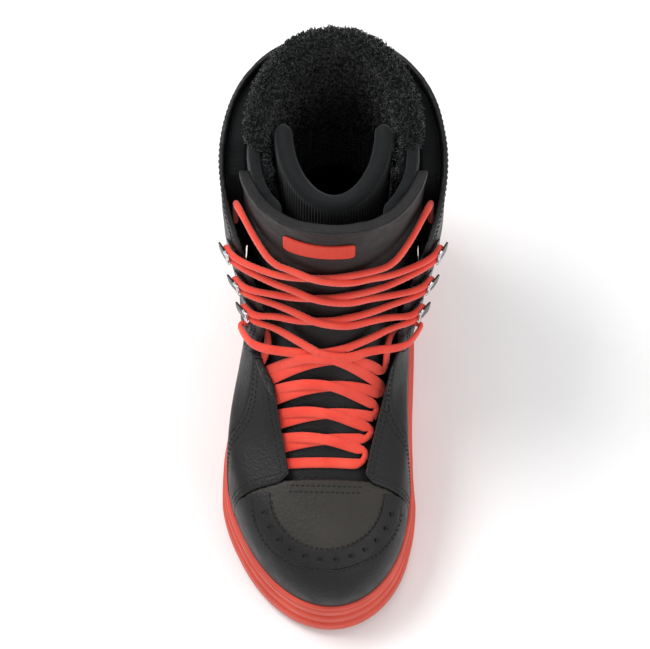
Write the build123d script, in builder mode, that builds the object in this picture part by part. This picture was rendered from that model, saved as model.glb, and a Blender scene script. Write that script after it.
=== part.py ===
from build123d import *

import math
import os
from functools import lru_cache

# A lace-up snowboard boot for the right foot, in millimetres. Toe towards -Y, heel towards +Y,
# outer (lateral) side towards -X, inner (medial) side towards +X, floor at Z = 0. Every soft
# layer is the same boot form, taken at a different depth below its outer surface.

# ---------------------------------------------------------------- driving dimensions
# Stations of the form, from the floor up. Each is a horizontal section: its height, where its
# toe end and heel end lie, and how far back from each end the section reaches full width.
STATIONS = (
    # height, toe y, heel y, toe round, toe squareness, heel round
    (0, -143.5, 143.5, 70, 2.00, 46),
    (14, -143.5, 143.5, 70, 2.00, 46),
    (28, -143.5, 143.5, 70, 2.00, 46),
    (40, -143.5, 143.5, 70, 2.00, 46),
    (50, -142.2, 143.5, 70, 2.00, 46),
    (59, -137.0, 143.2, 70, 2.00, 47),
    (68, -125.5, 142.5, 72, 2.00, 48),
    (75, -108.0, 141.5, 74, 2.00, 49),
    (81, -87.0, 140.0, 80, 1.95, 50),
    (88, -68.5, 138.0, 82, 1.90, 51),
    (98, -51.5, 135.5, 80, 1.95, 53),
    (112, -35.0, 132.5, 75, 2.00, 55),
    (128, -22.0, 130.0, 68, 2.10, 60),
    (146, -14.5, 128.0, 62, 2.20, 64),
    (170, -10.5, 126.0, 59, 2.20, 68),
    (200, -9.5, 124.0, 58, 2.20, 71),
    (235, -11.0, 122.0, 60, 2.20, 73),
    (270, -14.5, 120.5, 63, 2.20, 74),
    (305, -18.0, 119.5, 66, 2.20, 74),
)
SECTION_SPANS = 11  # points along each side of a section
HEEL_SQUARENESS = 2.2

# Half-width of the foot along its length: (y, half-width)
FOOT_WIDTH = (
    (-145, 49.5), (-100, 51.0), (-70, 54.0), (-40, 53.0), (-10, 50.4),
    (20, 48.4), (60, 46.4), (100, 44.4), (145, 43.6),
)
SHAFT_HALF_WIDTH = 59.0
BALL_OFFSET, BALL_Y, BALL_SPREAD = 8.9, -52, 68  # the ball of the foot bulges to the outside

# Heights in the sole
OUTSOLE_TOP = 9.0
MIDSOLE_TOP = 19.0
BOARD_TOP = 22.0
LINER_SOLE_TOP = 26.0
FOOTBED_TOP = 31.0
TOE_SPRING, TOE_SPRING_START = 6.0, -85
LUG_DEPTH, LUG_GAP, LUG_PITCH = 3.5, 4.0, 15.0

# Sidewall bands: (bottom height, top height, how far the band stands out of the form)
SIDEWALL_BANDS = (
    (1.0, 4.5, 4.2), (4.5, 15.5, 4.8), (15.5, 17.0, 3.5), (17.0, 26.0, 3.8),
    (26.0, 27.5, 2.4), (27.5, 36.0, 2.8), (36.0, 41.0, 1.8),
)

# Depths below the form's outer surface; negative stands out of it
LEATHER = 2.6  # thickness of the shell's leather
OVERLAY = 1.4  # how far the quarters stand out of the vamp
TOE_CAP_IN, TOE_CAP_OUT, TOE_BAND_OUT = -0.1, -1.0, -1.5
CUFF_IN, CUFF_OUT = -1.9, -4.6
TONGUE_OUT, TONGUE_IN = 7.2, 11.4
FOOT_LINER_OUT, FOOT_LINER_IN = 3.0, 8.5
INSTEP_LINER_IN = 16.0
PADDING_OUT, PADDING_IN = -1.6, 9.6
CUFF_LINER_OUT, CUFF_LINER_IN = 12.0, 18.0
FLEECE_OUT, FLEECE_IN = 18.3, 22.0
GAP = 0.3

# The ankle hinge and the soft zone round it
PIVOT_Y, PIVOT_Z = 70.0, 118.0
FLEX_HALF_GAP = 1.5
FLEX_FRONT, FLEX_REAR = 7.5, 2.5  # degrees each side of the hinge, ahead of it and behind it
FLEX_CLEARANCE = 0.1

REACH = 200.0  # larger than the boot in every direction

os.makedirs("parts", exist_ok=True)


# ---------------------------------------------------------------- the form
def smooth_step(t):
    t = min(1.0, max(0.0, t))
    return t * t * (3 - 2 * t)


def foot_half_width(y):
    for (y0, w0), (y1, w1) in zip(FOOT_WIDTH, FOOT_WIDTH[1:]):
        if y <= y1:
            return w0 + (w1 - w0) * max(0.0, (y - y0) / (y1 - y0))
    return FOOT_WIDTH[-1][1]


def half_width(y, z):
    """Half-width of the form before its toe and heel are rounded off."""
    shaft = smooth_step((z - 70) / 120)
    foot = foot_half_width(y) * (1 - 0.03 * smooth_step((z - 50) / 40))
    return foot * (1 - shaft) + SHAFT_HALF_WIDTH * shaft


def centre_x(y, z):
    """The foot's centre line curves outwards at the ball and is straight in the shaft."""
    bulge = BALL_OFFSET * math.exp(-(((y - BALL_Y) / BALL_SPREAD) ** 2))
    return 0.5 - bulge * (1 - smooth_step((z - 85) / 60))


def interpolate(x, pairs):
    """Straight-line interpolation through (x, value) pairs, which may run either way."""
    pairs = sorted(pairs)
    if x <= pairs[0][0]:
        return pairs[0][1]
    for (x0, v0), (x1, v1) in zip(pairs, pairs[1:]):
        if x <= x1:
            return v0 + (v1 - v0) * (x - x0) / (x1 - x0)
    return pairs[-1][1]


def profile_end(column, side, depth):
    """One end of the side profile at every station, moved inwards by depth."""
    heights = [station[0] for station in STATIONS]
    ends = [station[column] for station in STATIONS]
    moved = []
    last = len(STATIONS) - 1
    for i, (z, y) in enumerate(zip(heights, ends)):
        before, after = max(0, i - 1), min(last, i + 1)
        dz = heights[after] - heights[before]
        dy = ends[after] - ends[before]
        length = math.hypot(dy, dz)
        moved.append((z - side * depth * dy / length, y + side * depth * dz / length))
    return [interpolate(z, moved) for z in heights]


def half_section(y, z, shape, depth):
    """Half-width of a horizontal section at y, from the shape of its two ends."""
    toe, heel, toe_round, toe_power, heel_round = shape
    from_toe = min(1.0, max(0.0, (y - toe) / (toe_round - depth)))
    from_heel = min(1.0, max(0.0, (heel - y) / (heel_round - depth)))
    at_toe = (1 - (1 - from_toe) ** toe_power) ** (1 / toe_power)
    at_heel = (1 - (1 - from_heel) ** HEEL_SQUARENESS) ** (1 / HEEL_SQUARENESS)
    return (half_width(y, z) - depth) * at_toe * at_heel


def section_points(z, shape, depth):
    """One closed horizontal section of the form, from the heel round the inner side."""
    toe, heel = shape[:2]
    spans = range(SECTION_SPANS + 1)
    along = [heel + (toe - heel) * (1 - math.cos(math.pi * k / SECTION_SPANS)) / 2 for k in spans]
    inner = [(centre_x(y, z) + half_section(y, z, shape, depth), y, 0) for y in along]
    outer = [(centre_x(y, z) - half_section(y, z, shape, depth), y, 0) for y in along[-2:0:-1]]
    return inner + outer


def closed_curve(points):
    """A smooth closed curve whose knots are evenly spaced, so that sections loft evenly."""
    count = len(points)
    knots = [i / count for i in range(count + 1)]
    return Edge.make_spline(points, periodic=True, parameters=knots)


@lru_cache(maxsize=None)
def section_shapes(depth):
    """The shape of both ends of every station's section, at a depth."""
    toes = profile_end(1, 1, depth)
    heels = profile_end(2, -1, depth)
    return [(toe, heel) + station[3:] for station, toe, heel in zip(STATIONS, toes, heels)]


@lru_cache(maxsize=None)
def form(depth):
    """The whole boot as one solid, depth millimetres below its outer surface."""
    with BuildPart() as solid:
        for station, shape in zip(STATIONS, section_shapes(depth)):
            with BuildSketch(Plane.XY.offset(station[0])):
                with BuildLine():
                    add(closed_curve(section_points(station[0], shape, depth)))
                make_face()
        loft()
    return solid.part


def sole_slab(depth, bottom, top):
    """A flat slab with the sole's outline."""
    toe, heel = STATIONS[1][1] + depth, STATIONS[1][2] - depth
    with BuildPart() as slab:
        with BuildSketch(Plane.XY.offset(bottom)):
            with BuildLine():
                add(closed_curve(section_points(14, (toe, heel) + STATIONS[1][3:], depth)))
            make_face()
        extrude(amount=top - bottom)
    return slab.part


def shape_at(z, depth):
    """The shape of a section's ends at any height."""
    shapes = section_shapes(depth)
    heights = [station[0] for station in STATIONS]
    return tuple(interpolate(z, list(zip(heights, column))) for column in zip(*shapes))


def on_side(side, y, z, depth):
    """The point of the form's side at y and z, at a depth."""
    return Vector(centre_x(y, z) + side * half_section(y, z, shape_at(z, depth), depth), y, z)


def solve(inside, low, high):
    """The value between low, where inside is true, and high, where it is false."""
    for _ in range(40):
        middle = (low + high) / 2
        low, high = (middle, high) if inside(middle) else (low, middle)
    return low


def on_front(x, z, depth):
    """The point of the leg's front at x and z, at a depth."""
    shape = shape_at(z, depth)
    y = solve(lambda y: abs(x - centre_x(y, z)) < half_section(y, z, shape, depth), 60, -160)
    return Vector(x, y, z)


def on_top(x, y, depth):
    """The point of the instep's top at x and y, at a depth."""

    def inside(z):
        return abs(x - centre_x(y, z)) < half_section(y, z, shape_at(z, depth), depth)

    return Vector(x, y, solve(inside, 40, 300))


def side_block(points, low=-REACH, high=REACH, rounding=0.0):
    """A block whose side view, in Y and Z, is the given outline."""
    with BuildPart() as block:
        with BuildSketch(Plane.YZ.offset(low)) as sketch:
            with BuildLine():
                Polyline(*points, close=True)
            make_face()
            if rounding:
                fillet(sketch.vertices(), rounding)
        extrude(amount=high - low)
    return block.part


def plan_block(points, low=0.0, high=320.0, rounding=0.0):
    """A block whose plan view, in X and Y, is the given outline."""
    with BuildPart() as block:
        with BuildSketch(Plane.XY.offset(low)) as sketch:
            with BuildLine():
                Polyline(*points, close=True)
            make_face()
            if rounding:
                fillet(sketch.vertices(), rounding)
        extrude(amount=high - low)
    return block.part


def slab(low, high):
    """Everything between two heights."""
    return side_block([(-REACH, low), (REACH, low), (REACH, high), (-REACH, high)])


# ---------------------------------------------------------------- zones
def flex_line(side, clearance):
    """Edge of the ankle's soft zone in side view, above it (side 1) or below it (side -1)."""
    gap = FLEX_HALF_GAP + clearance
    ahead = math.tan(math.radians(FLEX_FRONT)) * (PIVOT_Y + REACH)
    behind = math.tan(math.radians(FLEX_REAR)) * (REACH - PIVOT_Y)
    return [
        (-REACH, PIVOT_Z + side * (gap + ahead)),
        (PIVOT_Y, PIVOT_Z + side * gap),
        (REACH, PIVOT_Z + side * (gap + behind)),
    ]


BELOW_ANKLE = side_block(
    flex_line(-1, FLEX_CLEARANCE) + [(REACH, OUTSOLE_TOP + 0.2), (-REACH, OUTSOLE_TOP + 0.2)]
)
ABOVE_ANKLE = side_block(flex_line(1, FLEX_CLEARANCE) + [(REACH, 320), (-REACH, 320)])
ANKLE = side_block(flex_line(-1, 0.0) + flex_line(1, 0.0)[::-1])

# The quarters' front edges in plan, from the sole over the instep and up both sides of the throat
QUARTER_EDGE_LATERAL = [
    (-REACH, -90), (-60, -87), (-46, -83), (-31, -80.5), (-25.5, -76), (-28, -62), (-32, -42),
    (-36, -16), (-44, 10),
]
QUARTER_EDGE_MEDIAL = [
    (REACH, -90), (46, -87), (34, -83), (24, -80.5), (19.5, -76), (22.5, -62), (27.5, -42),
    (35, -16), (44, 10),
]
THROAT_FRONT_Y = -79.0

# The toe band lies between two ellipses in plan
TOE_BAND_CENTRE = (-3.0, -87.0)
TOE_BAND_OUTER, TOE_BAND_INNER = (44.0, 43.0), (34.0, 33.0)
PERFORATIONS, PERFORATION_R = 12, 0.9

# Side view of the shell's edges: (y, z)
SIDEWALL_LINE = [(-152, 40), (-110, 38), (-60, 34.5), (0, 33), (80, 34.5), (152, 38.5)]
EYESTAY_SEAM = [(6, 130), (-10, 106), (-46, 79), (-63, 58), (-71, 38), (-72, -5)]
COUNTER_EDGE = [(34, -5), (38, 40), (54, 74), (64, 98), (68, 130)]
CUFF_EDGE = [
    (-10, 105), (-3, 146), (3, 172), (9, 202), (19, 226), (36, 241), (62, 249), (100, 255),
    (REACH, 262), (REACH, 100), (80, 112), (30, 108),
]
PADDING_EDGE = [(42, 150), (46, 236), (64, 243), (100, 249), (REACH, 256), (REACH, 128), (80, 128)]
TONGUE_TOP_LINE = ((-40, 288), (60, 256))
TONGUE_RIM = 7.0
LINER_TOP_LINE = [(-20, 262), (30, 268), (70, 278), (105, 289), (REACH, 292)]
FLEECE_DROP = 4.0
LINER_TONGUE_EDGE = [(-REACH, 60), (62, 60), (60, 276), (0, 266), (-REACH, 264)]
LINER_TONGUE_THICK = 10.0
# Ovals round the shin: (height, middle y, half-width, half-length)
LEG_OVALS = ((115, 52, 27, 56), (165, 54, 30, 51), (215, 56, 32, 48), (290, 58, 32.5, 47))

# The patch on the tongue, as x and z of its middle and its size
PATCH_CENTRE, PATCH_SIZE = (-7.5, 245.0), (40.0, 20.0)

# Lace hooks, as (y, z) on the cuff, from the lowest up
HOOK_SPOTS = ((4, 148), (10, 174), (17, 201))
HOOK_LIFT, HOOK_SHEET, HOOK_THROAT = 0.5, 1.0, 4.0
HOOK_LONG, HOOK_WIDE, HOOK_NECK, HOOK_NECK_X = 12.0, 10.0, 3.0, 1.5
RIVET_R, RIVET_DEEP = 1.8, 2.6

# The lace: rows over the instep, as (y, half-span), and its way round the wing's hole
LACE_R = 1.25
PIECE_GAP = 0.6  # between the lace's pieces, which move with different parts of the boot
LACE_DEPTH, LACE_UNDER, LACE_OVER = 4.8, 4.9, 2.1  # at a row's ends, below and above a crossing
LACE_STEP = 3.4  # how far a strand climbs each side of its row's middle
BAR_Y = -68.5
LACE_ROWS = ((-57.0, 29.5), (-44.0, 33.0), (-31.0, 36.5), (-20.0, 39.0))
INSTEP_ROWS = 2
WING_HOLE = (5.0, 121.0)
LACE_WING_IN, LACE_WING_OUT = 2.2, -8.5
HOOK_SPAN = 52.0
TAIL_LEAD, TAIL_TOP, TAIL_TURN, TAIL_END = (9, 229), (24, 239), (34, 227), (38, 196)


def curve_block(line, height, closing):
    """Everything on one side of a smooth line in side view, up or down to a height."""
    with BuildPart() as block:
        with BuildSketch(Plane.YZ.offset(-REACH)):
            with BuildLine():
                Spline(*[(y, z + height) for y, z in line])
                Polyline(
                    (line[-1][0], line[-1][1] + height),
                    (line[-1][0], closing),
                    (line[0][0], closing),
                    (line[0][0], line[0][1] + height),
                )
            make_face()
        extrude(amount=2 * REACH)
    return block.part


def quarter_zone():
    """Everything behind the quarters' front edges."""
    lateral = plan_block(QUARTER_EDGE_LATERAL + [(-44, REACH), (-REACH, REACH)])
    medial = plan_block(QUARTER_EDGE_MEDIAL + [(44, REACH), (REACH, REACH)])
    middle = plan_block([(-45, 22), (45, 22), (45, REACH), (-45, REACH)])
    return lateral + medial + middle


def tongue_zone(margin):
    """The front of the leg and the top of the instep, where the tongues lie."""
    plan = plan_block(
        [
            (-33 - margin, -84 - margin), (20 + margin, -84 - margin), (41 + margin, -40),
            (54 + margin, 6), (54 + margin, 36 + margin), (-54 - margin, 36 + margin),
            (-54 - margin, 6), (-47 - margin, -40),
        ]
    )
    side = side_block(
        [
            (-REACH, 50 - margin), (-84, 55 - margin), (-30, 72 - margin), (12, 97 - margin),
            (38 + margin, 120 - margin), (38 + margin, 320), (-REACH, 320),
        ]
    )
    return plan & side


def half_space(side, x=0.9):
    """Everything on the outer (-1) or inner (1) side of a plane just off the boot's middle."""
    low, high = (-REACH, x) if side < 0 else (x, REACH)
    return side_block([(-REACH, -5), (REACH, -5), (REACH, 320), (-REACH, 320)], low, high)


SIDES = {"lateral": -1, "medial": 1}
ABOVE_SIDEWALL = curve_block(SIDEWALL_LINE, GAP, 320)
QUARTER_ZONE = quarter_zone()
TONGUE_ZONE = tongue_zone(0.0)
TONGUE_POCKET = tongue_zone(GAP)


# ---------------------------------------------------------------- sole
with BuildPart() as toe_rocker:
    with BuildSketch(Plane.YZ.offset(-REACH)):
        with BuildLine():
            ThreePointArc(
                (TOE_SPRING_START, 0),
                (TOE_SPRING_START - 38, TOE_SPRING * 0.3),
                (-155, TOE_SPRING * 1.15),
            )
            Polyline((-155, TOE_SPRING * 1.15), (-155, -5), (TOE_SPRING_START, -5),
                     (TOE_SPRING_START, 0))
        make_face()
    extrude(amount=2 * REACH)

with BuildPart() as grooves:
    rows = [y for y in range(-135, 150, int(LUG_PITCH))]
    slants = [Location((side * 26, y, 0), (0, 0, side * 22)) for y in rows for side in (-1, 1)]
    with Locations(*slants):
        Box(62, LUG_GAP, 2 * LUG_DEPTH)
    add(sole_slab(8.0, -1.0, LUG_DEPTH + 1), mode=Mode.INTERSECT)

with BuildPart() as outsole:
    add(sole_slab(1.2, 0.0, OUTSOLE_TOP))
    add(grooves.part, mode=Mode.SUBTRACT)
    add(toe_rocker.part, mode=Mode.SUBTRACT)
outsole.part.label = "outsole"
export_step(outsole.part, "parts/outsole.step")

quarter_hollow = form(-OVERLAY - 0.2) & QUARTER_ZONE

with BuildPart() as sidewall:
    for band_bottom, band_top, proud in SIDEWALL_BANDS:
        add(sole_slab(-proud, band_bottom, band_top))
    add(form(-0.2), mode=Mode.SUBTRACT)
    add(sole_slab(1.0, 0.0, 30.0), mode=Mode.SUBTRACT)
    add(quarter_hollow, mode=Mode.SUBTRACT)
    add(curve_block(SIDEWALL_LINE, 0, 60), mode=Mode.SUBTRACT)
    add(toe_rocker.part, mode=Mode.SUBTRACT)
sidewall.part.label = "sidewall"
export_step(sidewall.part, "parts/sidewall.step")

HEEL_PAD = (23.0, 33.0, 95.0)  # half-width, half-length and middle of the heel pad
SHANK_FRONT, SHANK_REAR, SHANK_WIDTH, SHANK_THICK = -40.0, 56.0, 26.0, 1.6

with BuildPart() as midsole:
    add(sole_slab(4.2, OUTSOLE_TOP + 0.1, MIDSOLE_TOP))
    with BuildSketch(Plane.XY.offset(MIDSOLE_TOP)):
        with Locations((0, HEEL_PAD[2])):
            Ellipse(HEEL_PAD[0], HEEL_PAD[1])
    extrude(amount=-6, mode=Mode.SUBTRACT)
    with BuildSketch(Plane.XY.offset(MIDSOLE_TOP)):
        with Locations((0, (SHANK_FRONT + SHANK_REAR) / 2)):
            Rectangle(SHANK_WIDTH, SHANK_REAR - SHANK_FRONT)
    extrude(amount=-SHANK_THICK, mode=Mode.SUBTRACT)
midsole.part.label = "midsole"
export_step(midsole.part, "parts/midsole.step")

with BuildPart() as heel_pad:
    with BuildSketch(Plane.XY.offset(MIDSOLE_TOP - 5.9)):
        with Locations((0, HEEL_PAD[2])):
            Ellipse(HEEL_PAD[0] - 0.2, HEEL_PAD[1] - 0.2)
    extrude(amount=5.8)
heel_pad.part.label = "heel_pad"
export_step(heel_pad.part, "parts/heel_pad.step")

with BuildPart() as shank:
    with BuildSketch(Plane.XY.offset(MIDSOLE_TOP - SHANK_THICK + 0.05)) as shank_outline:
        with Locations((0, (SHANK_FRONT + SHANK_REAR) / 2)):
            Rectangle(SHANK_WIDTH - 0.4, SHANK_REAR - SHANK_FRONT - 0.4)
        fillet(shank_outline.vertices(), 6)
    extrude(amount=SHANK_THICK - 0.1)
shank.part.label = "shank"
export_step(shank.part, "parts/shank.step")

with BuildPart() as lasting_board:
    add(sole_slab(4.2, MIDSOLE_TOP + 0.1, BOARD_TOP))
lasting_board.part.label = "lasting_board"
export_step(lasting_board.part, "parts/lasting_board.step")


# ---------------------------------------------------------------- lower shell
with BuildPart() as vamp:
    add(form(0.0))
    add(form(LEATHER), mode=Mode.SUBTRACT)
    add(BELOW_ANKLE, mode=Mode.INTERSECT)
    add(QUARTER_ZONE, mode=Mode.SUBTRACT)
    throat = side_block([(THROAT_FRONT_Y, -5), (REACH, -5), (REACH, 320), (THROAT_FRONT_Y, 320)])
    add(throat, mode=Mode.SUBTRACT)
vamp.part.label = "vamp"
export_step(vamp.part, "parts/vamp.step")


def toe_ellipse(radii):
    """A standing elliptical column round the middle of the toe."""
    with BuildPart() as column:
        with BuildSketch():
            with Locations(TOE_BAND_CENTRE):
                Ellipse(*radii)
        extrude(amount=120)
    return column.part


TOE_ZONE = side_block([(-REACH, 30), (-86, 30), (-86, 100), (-REACH, 100)]) & ABOVE_SIDEWALL

with BuildPart() as toe_cap:
    add(form(TOE_CAP_OUT))
    add(form(TOE_CAP_IN), mode=Mode.SUBTRACT)
    add(TOE_ZONE, mode=Mode.INTERSECT)
    add(QUARTER_ZONE, mode=Mode.SUBTRACT)
    add(toe_ellipse(TOE_BAND_OUTER), mode=Mode.SUBTRACT)
toe_cap.part.label = "toe_cap"
export_step(toe_cap.part, "parts/toe_cap.step")

hole_spots = []
for hole in range(PERFORATIONS):
    angle = math.radians(188 + (hole + 0.5) * 164 / PERFORATIONS)
    middle_x = (TOE_BAND_OUTER[0] + TOE_BAND_INNER[0]) / 2
    middle_y = (TOE_BAND_OUTER[1] + TOE_BAND_INNER[1]) / 2
    spot_x = TOE_BAND_CENTRE[0] + middle_x * math.cos(angle)
    spot_y = TOE_BAND_CENTRE[1] + middle_y * math.sin(angle)
    hole_spots.append((spot_x, spot_y))

with BuildPart() as toe_band:
    add(form(TOE_BAND_OUT))
    add(form(TOE_CAP_IN), mode=Mode.SUBTRACT)
    add(TOE_ZONE, mode=Mode.INTERSECT)
    add(QUARTER_ZONE, mode=Mode.SUBTRACT)
    add(toe_ellipse(TOE_BAND_OUTER), mode=Mode.INTERSECT)
    add(toe_ellipse(TOE_BAND_INNER), mode=Mode.SUBTRACT)
    with BuildSketch(Plane.XY):
        with Locations(*hole_spots):
            Circle(PERFORATION_R)
    extrude(amount=100, mode=Mode.SUBTRACT)
toe_band.part.label = "toe_band"
export_step(toe_band.part, "parts/toe_band.step")

with BuildPart() as quarters:
    add(form(-OVERLAY))
    add(form(LEATHER), mode=Mode.SUBTRACT)
    add(BELOW_ANKLE, mode=Mode.INTERSECT)
    add(QUARTER_ZONE, mode=Mode.INTERSECT)

ahead_of_seam = side_block(EYESTAY_SEAM + [(-REACH, -5), (-REACH, 130)])
behind_counter = side_block(COUNTER_EDGE + [(REACH, 130), (REACH, -5)])

for side_name, side in SIDES.items():
    with BuildPart() as eyestay:
        add(quarters.part)
        add(half_space(side), mode=Mode.INTERSECT)
        add(ahead_of_seam, mode=Mode.INTERSECT)
    eyestay.part.label = f"eyestay_{side_name}"
    export_step(eyestay.part, f"parts/eyestay_{side_name}.step")

    with BuildPart() as side_panel:
        add(quarters.part)
        add(half_space(side), mode=Mode.INTERSECT)
        add(ahead_of_seam, mode=Mode.SUBTRACT)
        add(behind_counter, mode=Mode.SUBTRACT)
    side_panel.part.label = f"side_panel_{side_name}"
    export_step(side_panel.part, f"parts/side_panel_{side_name}.step")

with BuildPart() as heel_counter:
    add(quarters.part)
    add(behind_counter, mode=Mode.INTERSECT)
heel_counter.part.label = "heel_counter"
export_step(heel_counter.part, "parts/heel_counter.step")


def back_strip(inner, outer, low, high, half):
    """A strip of leather up the middle of the back."""
    middle = side_block([(100, low), (REACH, low), (REACH, high), (100, high)], 0.5 - half, 0.5 + half)
    with BuildPart() as strip:
        add(form(outer))
        add(form(inner), mode=Mode.SUBTRACT)
        add(middle, mode=Mode.INTERSECT)
    return strip.part


with BuildPart() as heel_strip:
    add(back_strip(-OVERLAY - 0.1, -OVERLAY - 1.2, 41.0, 112.0, 11))
heel_strip.part.label = "heel_strip"
export_step(heel_strip.part, "parts/heel_strip.step")


# ---------------------------------------------------------------- liner and footbed
foot_cavity = form(FOOT_LINER_IN) & slab(LINER_SOLE_TOP, 60)
foot_cavity += form(INSTEP_LINER_IN) & slab(50, 320)
tongue_pocket = TONGUE_POCKET - form(TONGUE_IN + GAP)

with BuildPart() as liner_foot:
    add(form(FOOT_LINER_OUT))
    add(slab(BOARD_TOP + 0.2, 320), mode=Mode.INTERSECT)
    add(BELOW_ANKLE, mode=Mode.INTERSECT)
    add(foot_cavity, mode=Mode.SUBTRACT)
    add(tongue_pocket, mode=Mode.SUBTRACT)
liner_foot.part.label = "liner_foot"
export_step(liner_foot.part, "parts/liner_foot.step")

with BuildPart() as footbed:
    add(form(FOOT_LINER_IN + 0.4))
    add(slab(LINER_SOLE_TOP + 0.1, FOOTBED_TOP), mode=Mode.INTERSECT)
footbed.part.label = "footbed"
export_step(footbed.part, "parts/footbed.step")

with BuildPart() as tongue_lower:
    add(form(TONGUE_OUT))
    add(form(TONGUE_IN), mode=Mode.SUBTRACT)
    add(TONGUE_ZONE, mode=Mode.INTERSECT)
    add(BELOW_ANKLE, mode=Mode.INTERSECT)
tongue_lower.part.label = "tongue_lower"
export_step(tongue_lower.part, "parts/tongue_lower.step")


# ---------------------------------------------------------------- soft zone at the ankle
with BuildPart() as liner_ankle:
    add(form(FOOT_LINER_OUT))
    add(ANKLE, mode=Mode.INTERSECT)
    add(form(INSTEP_LINER_IN), mode=Mode.SUBTRACT)
    add(tongue_pocket, mode=Mode.SUBTRACT)
liner_ankle.part.label = "liner_ankle"
export_step(liner_ankle.part, "parts/liner_ankle.step")

with BuildPart() as tongue_ankle:
    add(form(TONGUE_OUT))
    add(form(TONGUE_IN), mode=Mode.SUBTRACT)
    add(TONGUE_ZONE, mode=Mode.INTERSECT)
    add(ANKLE, mode=Mode.INTERSECT)
tongue_ankle.part.label = "tongue_ankle"
export_step(tongue_ankle.part, "parts/tongue_ankle.step")

behind_lace = side_block([(16, -5), (REACH, -5), (REACH, 320), (16, 320)])
with BuildPart() as ankle_gusset:
    add(form(0.0))
    add(form(LEATHER), mode=Mode.SUBTRACT)
    add(ANKLE, mode=Mode.INTERSECT)
    add(behind_lace, mode=Mode.INTERSECT)
ankle_gusset.part.label = "ankle_gusset"
export_step(ankle_gusset.part, "parts/ankle_gusset.step")

# ---------------------------------------------------------------- cuff
with BuildPart() as cuff_layer:
    add(form(CUFF_OUT))
    add(form(CUFF_IN), mode=Mode.SUBTRACT)
    add(side_block(CUFF_EDGE, rounding=5), mode=Mode.INTERSECT)

for side_name, side in SIDES.items():
    with BuildPart() as cuff:
        add(cuff_layer.part)
        add(half_space(side), mode=Mode.INTERSECT)
        add(ABOVE_ANKLE, mode=Mode.INTERSECT)
    cuff.part.label = f"cuff_{side_name}"
    export_step(cuff.part, f"parts/cuff_{side_name}.step")

    with BuildPart() as cuff_hem:
        add(cuff_layer.part)
        add(half_space(side), mode=Mode.INTERSECT)
        add(ANKLE, mode=Mode.INTERSECT)
        with BuildSketch(Plane.YZ):
            with Locations(WING_HOLE):
                Circle(LACE_R + 1.4)
        extrude(amount=REACH, both=True, mode=Mode.SUBTRACT)
    cuff_hem.part.label = f"cuff_hem_{side_name}"
    export_step(cuff_hem.part, f"parts/cuff_hem_{side_name}.step")

with BuildPart() as backstay:
    add(back_strip(CUFF_OUT - 0.1, CUFF_OUT - 1.3, 128.0, 250.0, 13))
backstay.part.label = "backstay"
export_step(backstay.part, "parts/backstay.step")

with BuildPart() as collar_padding:
    add(form(PADDING_OUT))
    add(side_block(PADDING_EDGE), mode=Mode.INTERSECT)
    add(ABOVE_ANKLE, mode=Mode.INTERSECT)
    add(form(PADDING_IN), mode=Mode.SUBTRACT)
collar_padding.part.label = "collar_padding"
export_step(collar_padding.part, "parts/collar_padding.step")


# ---------------------------------------------------------------- upper tongue
def below_tongue_top(drop):
    """Everything lower than the tongue's top edge, which slopes down to the back."""
    (y0, z0), (y1, z1) = TONGUE_TOP_LINE
    return side_block([(y0, z0 - drop), (y1, z1 - drop), (y1, 60), (y0, 60)])


with BuildPart() as tongue_upper:
    add(form(TONGUE_OUT))
    add(form(TONGUE_IN), mode=Mode.SUBTRACT)
    add(TONGUE_ZONE, mode=Mode.INTERSECT)
    add(ABOVE_ANKLE, mode=Mode.INTERSECT)
    add(below_tongue_top(TONGUE_RIM), mode=Mode.INTERSECT)
tongue_upper.part.label = "tongue_upper"
export_step(tongue_upper.part, "parts/tongue_upper.step")

with BuildPart() as tongue_rim:
    add(form(TONGUE_OUT - 0.8))
    add(form(TONGUE_IN + 0.5), mode=Mode.SUBTRACT)
    add(TONGUE_ZONE, mode=Mode.INTERSECT)
    add(below_tongue_top(0.0), mode=Mode.INTERSECT)
    add(below_tongue_top(TONGUE_RIM), mode=Mode.SUBTRACT)
tongue_rim.part.label = "tongue_rim"
export_step(tongue_rim.part, "parts/tongue_rim.step")

with BuildPart() as patch_block:
    with BuildSketch(Plane.XZ.offset(-20)) as patch_outline:
        with Locations(PATCH_CENTRE):
            Rectangle(*PATCH_SIZE)
        fillet(patch_outline.vertices(), 4)
    extrude(amount=REACH)

with BuildPart() as tongue_patch:
    add(form(TONGUE_OUT - 1.3))
    add(form(TONGUE_OUT - 0.1), mode=Mode.SUBTRACT)
    add(patch_block.part, mode=Mode.INTERSECT)
tongue_patch.part.label = "tongue_patch"
export_step(tongue_patch.part, "parts/tongue_patch.step")


# ---------------------------------------------------------------- upper liner
def liner_top(drop):
    """Everything lower than the liner's top edge."""
    return curve_block(LINER_TOP_LINE, -drop, 60)


with BuildPart() as liner_cuff:
    add(form(CUFF_LINER_OUT))
    add(form(CUFF_LINER_IN), mode=Mode.SUBTRACT)
    add(ABOVE_ANKLE, mode=Mode.INTERSECT)
    add(liner_top(0.0), mode=Mode.INTERSECT)
    add(plan_block([(-28, -60), (28, -60), (28, 50), (-28, 50)]), mode=Mode.SUBTRACT)
liner_cuff.part.label = "liner_cuff"
export_step(liner_cuff.part, "parts/liner_cuff.step")

with BuildPart() as fleece_lining:
    add(form(FLEECE_OUT))
    add(form(FLEECE_IN), mode=Mode.SUBTRACT)
    add(ABOVE_ANKLE, mode=Mode.INTERSECT)
    add(liner_top(FLEECE_DROP), mode=Mode.INTERSECT)
    add(side_block([(34, 60), (REACH, 60), (REACH, 320), (34, 320)]), mode=Mode.INTERSECT)
fleece_lining.part.label = "fleece_lining"
export_step(fleece_lining.part, "parts/fleece_lining.step")


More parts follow.
